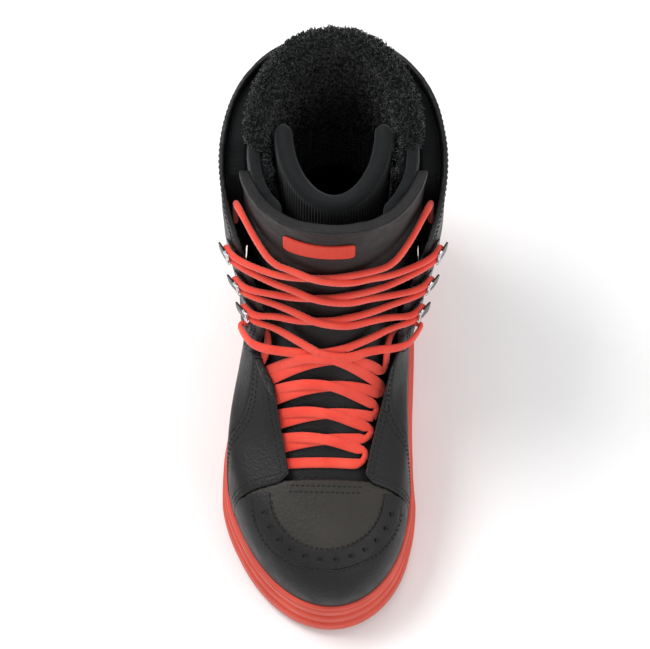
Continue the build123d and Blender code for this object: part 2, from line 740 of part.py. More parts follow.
def leg_sleeve(shrink):
    """The space round the shin as a lofted oval, smaller by shrink all round."""
    with BuildPart() as sleeve:
        for z, middle, across, along in LEG_OVALS:
            with BuildSketch(Plane.XY.offset(z)):
                with Locations((0.5, middle)):
                    Ellipse(across - shrink, along - shrink)
        loft()
    return sleeve.part


with BuildPart() as liner_tongue:
    add(leg_sleeve(0.0))
    add(leg_sleeve(LINER_TONGUE_THICK), mode=Mode.SUBTRACT)
    add(ABOVE_ANKLE, mode=Mode.INTERSECT)
    add(side_block(LINER_TONGUE_EDGE, rounding=6), mode=Mode.INTERSECT)
liner_tongue.part.label = "liner_tongue"
export_step(liner_tongue.part, "parts/liner_tongue.step")


# ---------------------------------------------------------------- lace hooks
def hook_plane(side, y, z):
    """A plane on the cuff: x towards the throat, y along the cuff's edge, z straight out."""
    base = on_side(side, y, z, CUFF_OUT)
    back = on_side(side, y + 1, z, CUFF_OUT) - on_side(side, y - 1, z, CUFF_OUT)
    up = on_side(side, y + 0.2, z + 1, CUFF_OUT) - on_side(side, y - 0.2, z - 1, CUFF_OUT)
    out = (back.cross(up) * side).normalized()
    ahead = (out.cross(up) * side).normalized()
    return Plane(origin=base + out * HOOK_LIFT, x_dir=ahead, z_dir=out)


for side_name, side in SIDES.items():
    with BuildPart() as lace_hooks:
        for spot in HOOK_SPOTS:
            with Locations(hook_plane(side, *spot)):
                with Locations((0, 0, HOOK_SHEET / 2)):
                    Box(HOOK_LONG, HOOK_WIDE, HOOK_SHEET)
                with Locations((HOOK_NECK_X, 0, HOOK_SHEET + HOOK_THROAT / 2)):
                    Box(HOOK_NECK, HOOK_NECK, HOOK_THROAT)
                with Locations((0, 0, HOOK_SHEET * 1.5 + HOOK_THROAT)):
                    Box(HOOK_LONG, HOOK_WIDE, HOOK_SHEET)
    lace_hooks.part.label = f"lace_hooks_{side_name}"
    export_step(lace_hooks.part, f"parts/lace_hooks_{side_name}.step")

with BuildPart() as hook_rivets:
    for side in SIDES.values():
        for spot in HOOK_SPOTS:
            with Locations(hook_plane(side, *spot)):
                with Locations((-2.5, 0, (HOOK_SHEET + 0.4 - RIVET_DEEP) / 2)):
                    Cylinder(RIVET_R, RIVET_DEEP + HOOK_SHEET + 0.4)
hook_rivets.part.label = "hook_rivets"
export_step(hook_rivets.part, "parts/hook_rivets.step")


# ---------------------------------------------------------------- lace
def bend_radii(points):
    """The largest bends that a route's runs leave room for."""
    radii = []
    for before, here, after in zip(points, points[1:], points[2:]):
        arriving, leaving = here - before, after - here
        half_turn = math.radians(max(1.0, arriving.get_angle(leaving))) / 2
        radii.append(min(30.0, 0.45 * min(arriving.length, leaving.length) / math.tan(half_turn)))
    return radii


def lace_tube(points):
    """A round tube along straight runs joined by tangent arcs."""
    with BuildPart() as tube:
        with BuildLine() as path:
            FilletPolyline(*points, radius=bend_radii(points))
        with BuildSketch(Plane(origin=path.line @ 0, z_dir=path.line % 0)):
            Circle(LACE_R)
        sweep(path=path.line)
    return tube.part, sum(edge.length for edge in path.edges())


def row_points(row, side, over):
    """One strand over the instep, rising from its lower end on one side to the other side."""
    y, half_span = row
    centre = centre_x(y, 90) - 0.5
    middle = LACE_OVER if over else LACE_UNDER
    spread = 0.3 if over else 0.36
    half = ((1, LACE_DEPTH), (0.76, LACE_DEPTH), (spread, middle))
    points = []
    crossing = ((0, middle),)
    for across, depth in half + crossing + tuple((-x, depth) for x, depth in half[::-1]):
        x = centre + side * across * half_span
        points.append(on_top(x, y - across * LACE_STEP, depth))
    return points


def shin_points(side, low_z, high_z, over):
    """One strand across the shin, from low_z on one side to high_z on the other."""
    points = []
    for across in (34, 22, 11, 0, -11, -22, -34):
        depth = LACE_OVER if over and abs(across) <= 11 else LACE_UNDER
        z = low_z + (high_z - low_z) * (HOOK_SPAN - across) / (2 * HOOK_SPAN)
        points.append(on_front(side * across, z, depth))
    return points


def hook_points(side, spot):
    """Round the back of a hook's neck, from below it to above it."""
    plane = hook_plane(side, *spot)
    lift = HOOK_SHEET + HOOK_THROAT / 2
    turn = HOOK_NECK_X - HOOK_NECK / 2 - LACE_R - 1.0
    lower = side * (HOOK_NECK / 2 + LACE_R + 0.3)
    ahead = HOOK_LONG / 2 + 8
    corners = ((ahead, lower), (turn, lower), (turn, -lower), (ahead, -lower))
    return [plane.from_local_coords(Vector(x, y, lift)) for x, y in corners]


def stepped(start, towards, distance):
    """The point a distance from start towards another point."""
    return start + (towards - start).normalized() * distance


def lace_half(side, first_over):
    """The three lengths of one half of the lace: over the instep, round the ankle, up the shin."""
    over = first_over
    instep, ankle, shin = [], [], []
    here = side
    for number, row in enumerate(LACE_ROWS):
        (instep if number < INSTEP_ROWS else ankle).extend(row_points(row, here, over))
        here, over = -here, not over
    y, z = WING_HOLE
    ankle += [
        on_side(here, y - 9, z - 1, LACE_WING_IN + 2),
        on_side(here, y, z - 1, LACE_WING_IN),
        on_side(here, y, z + 1, LACE_WING_OUT),
        on_side(here, y - 8, z + 2, LACE_WING_OUT),
        on_side(here, y - 17, z + 3, LACE_WING_OUT + 1),
    ]
    low_z = z + 2
    for number, spot in enumerate(HOOK_SPOTS):
        strand = shin_points(here, low_z, spot[1] - 2, over)
        if number == 0:
            ankle += strand[1:5]
            shin = [stepped(strand[4], strand[5], PIECE_GAP)]
            strand = strand[5:]
        here, over = -here, not over
        shin += strand + hook_points(here, spot)
        low_z = spot[1] + 2
    tail = shin_points(here, low_z, TAIL_TOP[1] - 12, over)
    here = -here
    shin += tail
    for y, z in (TAIL_LEAD, TAIL_TOP, TAIL_TURN, TAIL_END):
        shin.append(on_side(here, y, z, LACE_WING_IN))
    return instep, ankle, shin


halves = [lace_half(-1, False), lace_half(1, True)]
bar = [
    on_top(centre_x(BAR_Y, 90) - 0.5 + x, BAR_Y, depth)
    for x, depth in ((-26, LACE_DEPTH), (-10, LACE_UNDER), (10, LACE_UNDER), (26, LACE_DEPTH))
]
first_half, second_half = halves
lower_route = first_half[0][::-1] + bar + second_half[0]
lace_length = 0.0

with BuildPart() as lace_instep:
    tube, length = lace_tube(lower_route)
    add(tube)
    lace_length += length
lace_instep.part.label = "lace_instep"
export_step(lace_instep.part, "parts/lace_instep.step")

with BuildPart() as lace_ankle:
    for instep, ankle, shin in halves:
        tube, length = lace_tube([stepped(instep[-1], ankle[0], LACE_R + PIECE_GAP)] + ankle)
        add(tube)
        lace_length += length
lace_ankle.part.label = "lace_ankle"
export_step(lace_ankle.part, "parts/lace_ankle.step")

with BuildPart() as lace_shin:
    for instep, ankle, shin in halves:
        tube, length = lace_tube(shin)
        add(tube)
        lace_length += length
lace_shin.part.label = "lace_shin"
export_step(lace_shin.part, "parts/lace_shin.step")
print("lace length", round(lace_length))
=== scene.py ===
import math

import bmesh
import bpy
import numpy as np
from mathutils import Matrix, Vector
from mathutils.bvhtree import BVHTree


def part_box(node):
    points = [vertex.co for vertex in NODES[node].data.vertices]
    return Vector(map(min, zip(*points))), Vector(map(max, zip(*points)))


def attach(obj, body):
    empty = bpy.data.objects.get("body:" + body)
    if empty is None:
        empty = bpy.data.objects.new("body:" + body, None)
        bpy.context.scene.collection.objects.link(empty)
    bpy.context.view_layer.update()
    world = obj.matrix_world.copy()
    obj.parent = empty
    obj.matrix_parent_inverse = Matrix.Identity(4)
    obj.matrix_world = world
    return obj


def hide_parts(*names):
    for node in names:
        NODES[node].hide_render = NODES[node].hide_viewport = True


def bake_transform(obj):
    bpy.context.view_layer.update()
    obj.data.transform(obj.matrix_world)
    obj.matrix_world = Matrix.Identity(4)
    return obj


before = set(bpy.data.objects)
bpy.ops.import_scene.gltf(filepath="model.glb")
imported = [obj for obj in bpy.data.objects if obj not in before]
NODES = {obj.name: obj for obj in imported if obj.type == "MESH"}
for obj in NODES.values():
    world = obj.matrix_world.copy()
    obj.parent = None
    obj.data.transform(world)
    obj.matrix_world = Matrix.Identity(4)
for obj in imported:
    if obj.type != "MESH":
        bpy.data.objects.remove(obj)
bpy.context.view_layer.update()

# The looks of a lace-up snowboard boot. Shapes are worked out in millimetres and turned into
# metres by MM when a mesh is made. Toe towards -Y, outer side of the foot towards -X.
MM = 0.001
SIDES = {"lateral": -1, "medial": 1}
random = np.random.default_rng(11)

# ---------------------------------------------------------------- the boot's form
# Horizontal sections: height, toe y, heel y, toe round, toe squareness, heel round
STATIONS = (
    (0, -143.5, 143.5, 70, 2.00, 46), (14, -143.5, 143.5, 70, 2.00, 46),
    (28, -143.5, 143.5, 70, 2.00, 46), (40, -143.5, 143.5, 70, 2.00, 46),
    (50, -142.2, 143.5, 70, 2.00, 46), (59, -137.0, 143.2, 70, 2.00, 47),
    (68, -125.5, 142.5, 72, 2.00, 48), (75, -108.0, 141.5, 74, 2.00, 49),
    (81, -87.0, 140.0, 80, 1.95, 50), (88, -68.5, 138.0, 82, 1.90, 51),
    (98, -51.5, 135.5, 80, 1.95, 53), (112, -35.0, 132.5, 75, 2.00, 55),
    (128, -22.0, 130.0, 68, 2.10, 60), (146, -14.5, 128.0, 62, 2.20, 64),
    (170, -10.5, 126.0, 59, 2.20, 68), (200, -9.5, 124.0, 58, 2.20, 71),
    (235, -11.0, 122.0, 60, 2.20, 73), (270, -14.5, 120.5, 63, 2.20, 74),
    (305, -18.0, 119.5, 66, 2.20, 74),
)
HEIGHTS = [station[0] for station in STATIONS]
FOOT_WIDTH = (
    (-145, 49.5), (-100, 51.0), (-70, 54.0), (-40, 53.0), (-10, 50.4),
    (20, 48.4), (60, 46.4), (100, 44.4), (145, 43.6),
)
SHAFT_HALF_WIDTH = 59.0
HEEL_SQUARENESS = 2.2
BALL_OFFSET, BALL_Y, BALL_SPREAD = 8.9, -52, 68


def smooth_step(t):
    t = min(1.0, max(0.0, t))
    return t * t * (3 - 2 * t)


def half_width(y, z):
    foot = np.interp(y, *zip(*FOOT_WIDTH)) * (1 - 0.03 * smooth_step((z - 50) / 40))
    shaft = smooth_step((z - 70) / 120)
    return foot * (1 - shaft) + SHAFT_HALF_WIDTH * shaft


def centre_x(y, z):
    bulge = BALL_OFFSET * math.exp(-(((y - BALL_Y) / BALL_SPREAD) ** 2))
    return 0.5 - bulge * (1 - smooth_step((z - 85) / 60))


def shape_at(z, depth):
    """The ends of the section at z, depth millimetres below the form's surface."""
    ends = []
    for column, side in ((1, 1), (2, -1)):
        moved = []
        for i, station in enumerate(STATIONS):
            before, after = STATIONS[max(0, i - 1)], STATIONS[min(len(STATIONS) - 1, i + 1)]
            dz, dy = after[0] - before[0], after[column] - before[column]
            length = math.hypot(dy, dz)
            moved.append((station[0] - side * depth * dy / length,
                          station[column] + side * depth * dz / length))
        moved.sort()
        ends.append(float(np.interp(z, *zip(*moved))))
    rest = [float(np.interp(z, HEIGHTS, [s[k] for s in STATIONS])) for k in (3, 4, 5)]
    return ends + rest


def half_section(y, z, shape, depth):
    toe, heel, toe_round, toe_power, heel_round = shape
    from_toe = min(1.0, max(0.0, (y - toe) / (toe_round - depth)))
    from_heel = min(1.0, max(0.0, (heel - y) / (heel_round - depth)))
    at_toe = (1 - (1 - from_toe) ** toe_power) ** (1 / toe_power)
    at_heel = (1 - (1 - from_heel) ** HEEL_SQUARENESS) ** (1 / HEEL_SQUARENESS)
    return (half_width(y, z) - depth) * at_toe * at_heel


def ring(z, depth, spans):
    """One closed section of the form as points, from the heel round the inner side."""
    shape = shape_at(z, depth)
    toe, heel = shape[:2]
    along = [heel + (toe - heel) * (1 - math.cos(math.pi * k / spans)) / 2
             for k in range(spans + 1)]
    inner = [(centre_x(y, z) + half_section(y, z, shape, depth), y, z) for y in along]
    outer = [(centre_x(y, z) - half_section(y, z, shape, depth), y, z) for y in along[-2:0:-1]]
    return inner + outer


def on_side(side, y, z, depth):
    return Vector((centre_x(y, z) + side * half_section(y, z, shape_at(z, depth), depth), y, z))


def solve(inside, low, high):
    for _ in range(30):
        middle = (low + high) / 2
        low, high = (middle, high) if inside(middle) else (low, middle)
    return low


MIDDLE_Y = 60  # inside the form at every height
FRONT, BACK = -160, 200  # beyond the form's toe and its heel


def on_end(x, z, depth, beyond):
    """The form's front or back at x and z, looked for from the middle out to beyond."""
    shape = shape_at(z, depth)
    y = solve(lambda y: abs(x - centre_x(y, z)) < half_section(y, z, shape, depth),
              MIDDLE_Y, beyond)
    return Vector((x, y, z))


def on_top(x, y, depth):
    def inside(z):
        return abs(x - centre_x(y, z)) < half_section(y, z, shape_at(z, depth), depth)

    return Vector((x, y, solve(inside, 40, 300)))


# ---------------------------------------------------------------- mesh helpers
def placed(name, data):
    """A new object made of data, in the scene."""
    obj = bpy.data.objects.new(name, data)
    bpy.context.scene.collection.objects.link(obj)
    return obj


def shade_smooth(mesh):
    mesh.polygons.foreach_set("use_smooth", [True] * len(mesh.polygons))


def make_object(name, points, faces):
    """A mesh object from points in millimetres."""
    mesh = bpy.data.meshes.new(name)
    mesh.from_pydata([tuple(c * MM for c in p) for p in points], [], faces)
    mesh.update()
    shade_smooth(mesh)
    return placed(name, mesh)


def finished(obj):
    """Turns an object's modifiers into its mesh."""
    shape = obj.evaluated_get(bpy.context.evaluated_depsgraph_get())
    mesh = bpy.data.meshes.new_from_object(shape)
    obj.modifiers.clear()
    obj.data = mesh
    shade_smooth(mesh)
    return obj


def moulded(name, nodes, voxel=1.0, rounds=4, swell=0.12):
    """CAD nodes as one evenly meshed piece with soft, rounded edges."""
    bm = bmesh.new()
    for node in nodes:
        bm.from_mesh(NODES[node].data)
    bmesh.ops.remove_doubles(bm, verts=bm.verts, dist=0.00001)
    bmesh.ops.recalc_face_normals(bm, faces=bm.faces)
    bm.normal_update()
    for vertex in bm.verts:
        vertex.co += vertex.normal * swell * MM
    mesh = bpy.data.meshes.new(name)
    bm.to_mesh(mesh)
    bm.free()
    obj = placed(name, mesh)
    remesh = obj.modifiers.new("remesh", "REMESH")
    remesh.mode = "VOXEL"
    remesh.voxel_size = voxel * MM
    smooth = obj.modifiers.new("smooth", "SMOOTH")
    smooth.factor, smooth.iterations = 0.5, rounds
    finished(obj)
    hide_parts(*nodes)
    return obj


def outward_faces(obj):
    bm = bmesh.new()
    bm.from_mesh(obj.data)
    bmesh.ops.recalc_face_normals(bm, faces=bm.faces)
    bm.to_mesh(obj.data)
    bm.free()


def vertices(obj):
    co = np.zeros(len(obj.data.vertices) * 3)
    obj.data.vertices.foreach_get("co", co)
    return co.reshape(-1, 3) / MM


def vertex_normals(obj):
    normals = np.zeros(len(obj.data.vertices) * 3)
    obj.data.vertices.foreach_get("normal", normals)
    return normals.reshape(-1, 3)


def push(obj, amounts):
    """Moves each vertex along its normal, in millimetres."""
    moved = (vertices(obj) + vertex_normals(obj) * np.asarray(amounts)[:, None]) * MM
    obj.data.vertices.foreach_set("co", moved.ravel())
    obj.data.update()


def waves(points, length, seed=0.0):
    """Gentle unevenness between -1 and 1, for points in millimetres."""
    p = points * (2 * math.pi / length)
    x, y, z = p[:, 0] + seed, p[:, 1] + 2.1 * seed, p[:, 2] - 1.3 * seed
    first = np.sin(x + 0.7 * np.sin(0.8 * y)) * np.cos(0.9 * y + 0.6 * np.sin(z))
    second = np.sin(1.9 * z + 1.3 * np.sin(x * 0.7) + 0.5) * np.cos(1.6 * x - 0.4)
    return 0.6 * first + 0.4 * second


def join_groups(points, faces, more_points, more_faces):
    start = len(points)
    points.extend(more_points)
    faces.extend(tuple(i + start for i in face) for face in more_faces)


def tube_faces(rows, around):
    """The quads of a tube whose points lie in rows of around points each."""
    return [(i * around + k, i * around + (k + 1) % around,
             (i + 1) * around + (k + 1) % around, (i + 1) * around + k)
            for i in range(rows - 1) for k in range(around)]


def closed_tube_faces(rows, around):
    """The faces of a tube that is closed at both ends."""
    first_end = tuple(reversed(range(around)))
    last_end = tuple((rows - 1) * around + k for k in range(around))
    return tube_faces(rows, around) + [first_end, last_end]


def surface_tree(obj):
    return BVHTree.FromPolygons([v.co / MM for v in obj.data.vertices],
                                [tuple(p.vertices) for p in obj.data.polygons])


def resampled(points, step):
    """The same line with points evenly spaced."""
    p = np.array([tuple(q) for q in points], float)
    run = np.concatenate([[0], np.cumsum(np.linalg.norm(np.diff(p, axis=0), axis=1))])
    count = max(2, int(round(run[-1] / step)) + 1)
    at = np.linspace(0, run[-1], count)
    return np.stack([np.interp(at, run, p[:, k]) for k in range(p.shape[1])], axis=1)


def spline(points, step=1.0):
    """A smooth line through points, evenly spaced (Catmull-Rom)."""
    p = np.array([tuple(q) for q in points], float)
    p = np.vstack([2 * p[0] - p[1], p, 2 * p[-1] - p[-2]])
    out = []
    for a, b, c, d in zip(p, p[1:], p[2:], p[3:]):
        for t in np.linspace(0, 1, 12, endpoint=False):
            out.append(0.5 * (2 * b + (c - a) * t + (2 * a - 5 * b + 4 * c - d) * t * t
                              + (3 * b - a - 3 * c + d) * t ** 3))
    out.append(p[-2])
    return resampled(out, step)


def directions(line):
    """The unit direction of a line at each of its points."""
    t = np.gradient(line, axis=0)
    return t / np.linalg.norm(t, axis=1)[:, None]


def offset_line(line, distance):
    """A line in a plane moved sideways."""
    t = directions(line)
    return line + np.stack([-t[:, 1], t[:, 0]], axis=1) * distance


def drop_on(tree, line, view):
    """A plan line (view 'top') or a side line (view -1 or 1) laid on a surface, as
    (place, normal) pairs."""
    laid = []
    for a, b in line:
        if view == "top":
            origin, direction = Vector((a, b, 330)), Vector((0, 0, -1))
        else:
            origin, direction = Vector((view * 120, a, b)), Vector((-view, 0, 0))
        place, normal, _, _ = tree.ray_cast(origin, direction, 300)
        if place is not None:
            if normal.dot(direction) > 0:
                normal = -normal
            laid.append((place, normal))
    return laid


def stitch_mesh(laid, pitch=3.3, length=2.5, radius=0.36):
    """Thread stitches along a laid line, as capsules half sunk in the leather."""
    points, faces = [], []
    if len(laid) < 4:
        return points, faces
    places = np.array([tuple(p) for p, _ in laid])
    normals = np.array([tuple(n) for _, n in laid])
    gaps = np.linalg.norm(np.diff(places, axis=0), axis=1)
    run = np.concatenate([[0], np.cumsum(gaps)])
    profile = ((0, 0.0), (0.12, 0.75), (0.35, 1.0), (0.65, 1.0), (0.88, 0.75), (1.0, 0.0))
    around = 6
    for start in np.arange(0.3, run[-1] - length, pitch):
        if gaps[min(len(gaps) - 1, np.searchsorted(run, start))] > 4:
            continue
        ends = [np.array([np.interp(s, run, places[:, k]) for k in range(3)])
                for s in (start, start + length)]
        n = np.array([np.interp(start + length / 2, run, normals[:, k]) for k in range(3)])
        along = ends[1] - ends[0]
        if np.linalg.norm(along) < 0.5 * length:
            continue
        n /= np.linalg.norm(n)
        t = along / np.linalg.norm(along)
        across = np.cross(n, t)
        capsule = []
        for part, share in profile:
            lift = radius * (0.55 - 0.9 * (2 * part - 1) ** 2)
            middle = ends[0] + along * part + n * lift
            for k in range(around):
                angle = 2 * math.pi * k / around
                capsule.append(middle + radius * share * (across * math.cos(angle)
                                                          + n * math.sin(angle)))
        join_groups(points, faces, capsule, tube_faces(len(profile), around))
    return points, faces


# ---------------------------------------------------------------- materials
def srgb(r, g, b):
    def linear(c):
        c /= 255
        return c / 12.92 if c <= 0.04045 else ((c + 0.055) / 1.055) ** 2.4

    return (linear(r), linear(g), linear(b), 1.0)


def add_node(tree, kind, inputs=None, **settings):
    node = tree.nodes.new(kind)
    for setting, value in settings.items():
        setattr(node, setting, value)
    for socket, value in (inputs or {}).items():
        if isinstance(value, bpy.types.NodeSocket):
            tree.links.new(value, node.inputs[socket])
        else:
            node.inputs[socket].default_value = value
    return node


def noise_value(tree, where, scale, detail=3.0):
    return add_node(tree, "ShaderNodeTexNoise",
                    {"Vector": where, "Scale": scale, "Detail": detail}).outputs["Fac"]


def cell_value(tree, where, scale, feature="F1"):
    return add_node(tree, "ShaderNodeTexVoronoi", {"Vector": where, "Scale": scale},
                    feature=feature).outputs["Distance"]


def wave_value(tree, where, scale, direction, distortion=0.0):
    return add_node(tree, "ShaderNodeTexWave",
                    {"Vector": where, "Scale": scale, "Distortion": distortion},
                    bands_direction=direction).outputs["Fac"]


def new_material(name, tones, roughness, bumps, broad=30.0, mottle=1.0, **constants):
    """A procedural material: two tones and a roughness range mixed by broad noise, then layers of
    bump. Each layer is (function, scale, height in millimetres, extra arguments)."""
    material = bpy.data.materials.new(name)
    material.use_nodes = True
    tree = material.node_tree
    shader = tree.nodes["Principled BSDF"]
    where = add_node(tree, "ShaderNodeTexCoord").outputs["Object"]
    patchy = noise_value(tree, where, broad, 4.0)
    spread = add_node(tree, "ShaderNodeMapRange",
                      {"Value": patchy, "From Min": 0.5 - 0.22 / mottle,
                       "From Max": 0.5 + 0.22 / mottle})
    colour = add_node(tree, "ShaderNodeMix", {"Factor": spread.outputs["Result"]}, data_type="RGBA")
    colour.inputs[6].default_value, colour.inputs[7].default_value = tones
    tree.links.new(colour.outputs[2], shader.inputs["Base Color"])
    rough = add_node(tree, "ShaderNodeMapRange",
                     {"Value": noise_value(tree, where, broad * 4, 3.0), "From Min": 0.3,
                      "From Max": 0.7, "To Min": roughness[0], "To Max": roughness[1]})
    tree.links.new(rough.outputs["Result"], shader.inputs["Roughness"])
    normal = None
    for function, scale, height, extra in bumps:
        inputs = {"Height": function(tree, where, scale, *extra), "Distance": height * MM,
                  "Strength": 1.0}
        if normal:
            inputs["Normal"] = normal
        normal = add_node(tree, "ShaderNodeBump", inputs).outputs["Normal"]
    if normal:
        tree.links.new(normal, shader.inputs["Normal"])
    for socket, value in constants.items():
        shader.inputs[socket.replace("_", " ")].default_value = value
    return material


LEATHER_BUMPS = [(cell_value, 620, 0.16, ()), (noise_value, 1500, 0.07, (2.0,)),
                 (noise_value, 160, 0.12, (2.0,))]
BLACK_LEATHER = new_material("black_leather", (srgb(15, 15, 17), srgb(23, 23, 24)), (0.40, 0.55),
                             LEATHER_BUMPS, Specular_IOR_Level=0.32)
VAMP_LEATHER = new_material("vamp_leather", (srgb(38, 36, 33), srgb(50, 47, 42)), (0.48, 0.62),
                            [(cell_value, 480, 0.22, ()), (noise_value, 1300, 0.08, (2.0,))],
                            Specular_IOR_Level=0.30)
TONGUE_LEATHER = new_material("tongue_leather", (srgb(14, 14, 15), srgb(24, 23, 23)), (0.5, 0.66),
                              [(cell_value, 520, 0.20, ()), (noise_value, 1400, 0.07, (2.0,))],
                              Specular_IOR_Level=0.28)
GUSSET_LEATHER = new_material("gusset_leather", (srgb(13, 13, 14), srgb(19, 19, 20)), (0.55, 0.7),
                              LEATHER_BUMPS, Specular_IOR_Level=0.25)
THREAD = new_material("thread", (srgb(20, 20, 21), srgb(34, 34, 35)), (0.5, 0.65),
                      [(wave_value, 900, 0.06, ("DIAGONAL", 1.0))], Specular_IOR_Level=0.3)
CORAL_RUBBER = new_material("coral_rubber", (srgb(190, 62, 44), srgb(212, 78, 60)), (0.42, 0.58),
                            [(noise_value, 900, 0.05, (3.0,)), (noise_value, 90, 0.12, (2.0,))],
                            Specular_IOR_Level=0.35)
LACE_CLOTH = new_material("lace_cloth", (srgb(222, 62, 48), srgb(236, 84, 66)), (0.7, 0.85),
                          [(noise_value, 2600, 0.06, (2.0,))], broad=70.0,
                          Specular_IOR_Level=0.2, Sheen_Weight=0.25, Sheen_Roughness=0.5)
LINER_KNIT = new_material("liner_knit", (srgb(16, 19, 20), srgb(25, 28, 29)), (0.75, 0.92),
                          [(wave_value, 330, 0.12, ("Z", 0.6)), (wave_value, 330, 0.10, ("X", 0.6)),
                           (noise_value, 2400, 0.06, (2.0,))],
                          Specular_IOR_Level=0.15, Sheen_Weight=0.12, Sheen_Roughness=0.45)
KNIT_RIB = new_material("knit_rib", (srgb(15, 18, 19), srgb(24, 27, 28)), (0.72, 0.9),
                        [(wave_value, 260, 0.10, ("Z", 0.8)), (noise_value, 2400, 0.06, (2.0,))],
                        Specular_IOR_Level=0.15, Sheen_Weight=0.12, Sheen_Roughness=0.45)
FLEECE = new_material("fleece", (srgb(10, 13, 14), srgb(20, 23, 24)), (0.85, 1.0),
                      [(noise_value, 1800, 0.15, (3.0,))], broad=120.0,
                      Specular_IOR_Level=0.1, Sheen_Weight=0.25, Sheen_Roughness=0.4)
LINING = new_material("lining", (srgb(12, 20, 27), srgb(20, 30, 38)), (0.7, 0.85),
                      [(wave_value, 520, 0.08, ("Z", 0.3)), (wave_value, 520, 0.08, ("X", 0.3))],
                      Specular_IOR_Level=0.15, Sheen_Weight=0.1)
HOOK_PAINT = new_material("hook_paint", (srgb(22, 22, 23), srgb(34, 34, 35)), (0.22, 0.36),
                          [(noise_value, 500, 0.02, (3.0,))], Metallic=0.6)
CHROME = new_material("chrome", (srgb(196, 198, 202), srgb(224, 226, 230)), (0.10, 0.22),
                      [(noise_value, 700, 0.01, (2.0,))], Metallic=1.0)
PATCH_CLOTH = new_material("patch_cloth", (srgb(214, 62, 46), srgb(230, 78, 60)), (0.62, 0.78),
                           [(wave_value, 420, 0.12, ("X", 0.3)), (wave_value, 420, 0.12, ("Z", 0.3))],
                           Specular_IOR_Level=0.2)
FOAM = new_material("foam", (srgb(186, 186, 182), srgb(206, 206, 202)), (0.75, 0.9),
                    [(cell_value, 900, 0.2, ())], Specular_IOR_Level=0.2)
SHANK_FIBRE = new_material("shank_fibre", (srgb(58, 60, 58), srgb(76, 78, 74)), (0.4, 0.55),
                           [(wave_value, 700, 0.05, ("X", 0.4)), (wave_value, 700, 0.05, ("Y", 0.4))])
BOARD = new_material("board", (srgb(120, 98, 70), srgb(146, 122, 90)), (0.8, 0.95),
                     [(noise_value, 800, 0.12, (4.0,))], Specular_IOR_Level=0.2)
for node, material in (("shank", SHANK_FIBRE), ("lasting_board", BOARD)):
    NODES[node].data.materials.clear()
    NODES[node].data.materials.append(material)


def dress(obj, material, body=None, blended=False):
    """Gives a piece its material and the body it moves with, or else bakes its placement into its
    mesh.
    """
    obj.data.materials.clear()
    obj.data.materials.append(material)
    if blended:
        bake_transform(obj)
    else:
        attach(obj, body)
    return obj


# ---------------------------------------------------------------- sole
tread = moulded("tread", ["outsole"], voxel=0.9, rounds=2, swell=0.0)
dress(tread, CORAL_RUBBER, "lower")

# The sidewall's outline, up its outside and down its hidden inside: (out of the form, height)
WALL_PROFILE = (
    (-1.0, 1.6), (3.0, 1.0), (3.9, 1.2), (4.3, 1.9), (4.4, 3.6), (4.5, 4.6), (4.9, 5.4), (5.0, 7.5),
    (5.0, 12.2), (4.9, 13.8), (4.3, 14.9), (3.4, 15.5), (3.0, 16.0), (3.0, 16.5), (3.5, 16.9),
    (3.9, 17.6), (4.0, 20.0), (3.9, 23.8), (3.6, 24.9), (2.9, 25.6), (2.2, 26.1), (2.0, 26.7),
    (2.3, 27.3), (2.8, 27.9), (3.0, 29.4), (3.0, 33.6), (2.8, 34.8), (2.2, 35.4), (1.9, 35.9),
    (2.1, 36.4), (2.6, 36.9), (2.8, 37.8), (2.7, 39.2), (2.3, 40.2), (1.5, 40.8), (0.6, 40.7),
    (0.0, 40.0), (-0.6, 38.0), (-1.0, 30.0), (-1.2, 12.0),
)
SIDEWALL_TOP = [(-152, 40), (-110, 38), (-60, 34.5), (0, 33), (80, 34.5), (152, 38.5)]
TOE_SPRING, TOE_SPRING_START = 6.0, -85.0
WALL_FOOT, WALL_TOP = 17, 41  # below the first, the toe rises; above it, the top line's slope shows


def wall_mesh(spans=220):
    outline = np.array(ring(14, 0.0, spans))[:, :2]
    t = np.roll(outline, -1, axis=0) - np.roll(outline, 1, axis=0)
    t /= np.linalg.norm(t, axis=1)[:, None]
    out = np.stack([-t[:, 1], t[:, 0]], axis=1)
    if np.dot(out[0], outline[0] - outline.mean(0)) < 0:
        out = -out
    top_line = spline(SIDEWALL_TOP, 2.0)
    top = np.interp(outline[:, 1], top_line[:, 0], top_line[:, 1]) + 0.8
    rise = np.clip((TOE_SPRING_START - outline[:, 1]) / 60, 0, 1)
    rise = TOE_SPRING * 0.95 * rise ** 1.7
    points = []
    for proud, height in WALL_PROFILE:
        upper = np.clip((height - WALL_FOOT) / (WALL_TOP - WALL_FOOT), 0, 1)
        lower = np.clip(1 - height / WALL_FOOT, 0, 1)
        z = height + upper * (top - WALL_TOP)
        z = z + rise * lower
        flare = proud + 0.6 * lower * (proud > 2)
        xy = outline + out * flare
        points.extend(zip(xy[:, 0], xy[:, 1], z))
    columns, rows = len(outline), len(WALL_PROFILE)
    faces = [(r * columns + c, r * columns + (c + 1) % columns,
              ((r + 1) % rows) * columns + (c + 1) % columns, ((r + 1) % rows) * columns + c)
             for r in range(rows) for c in range(columns)]
    return points, faces


sidewall = make_object("sidewall_rubber", *wall_mesh())
outward_faces(sidewall)
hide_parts("sidewall")
dress(sidewall, CORAL_RUBBER, "lower")

for node in ("midsole", "heel_pad"):
    dress(moulded(node + "_foam", [node], 1.3, 3), FOAM, "lower")

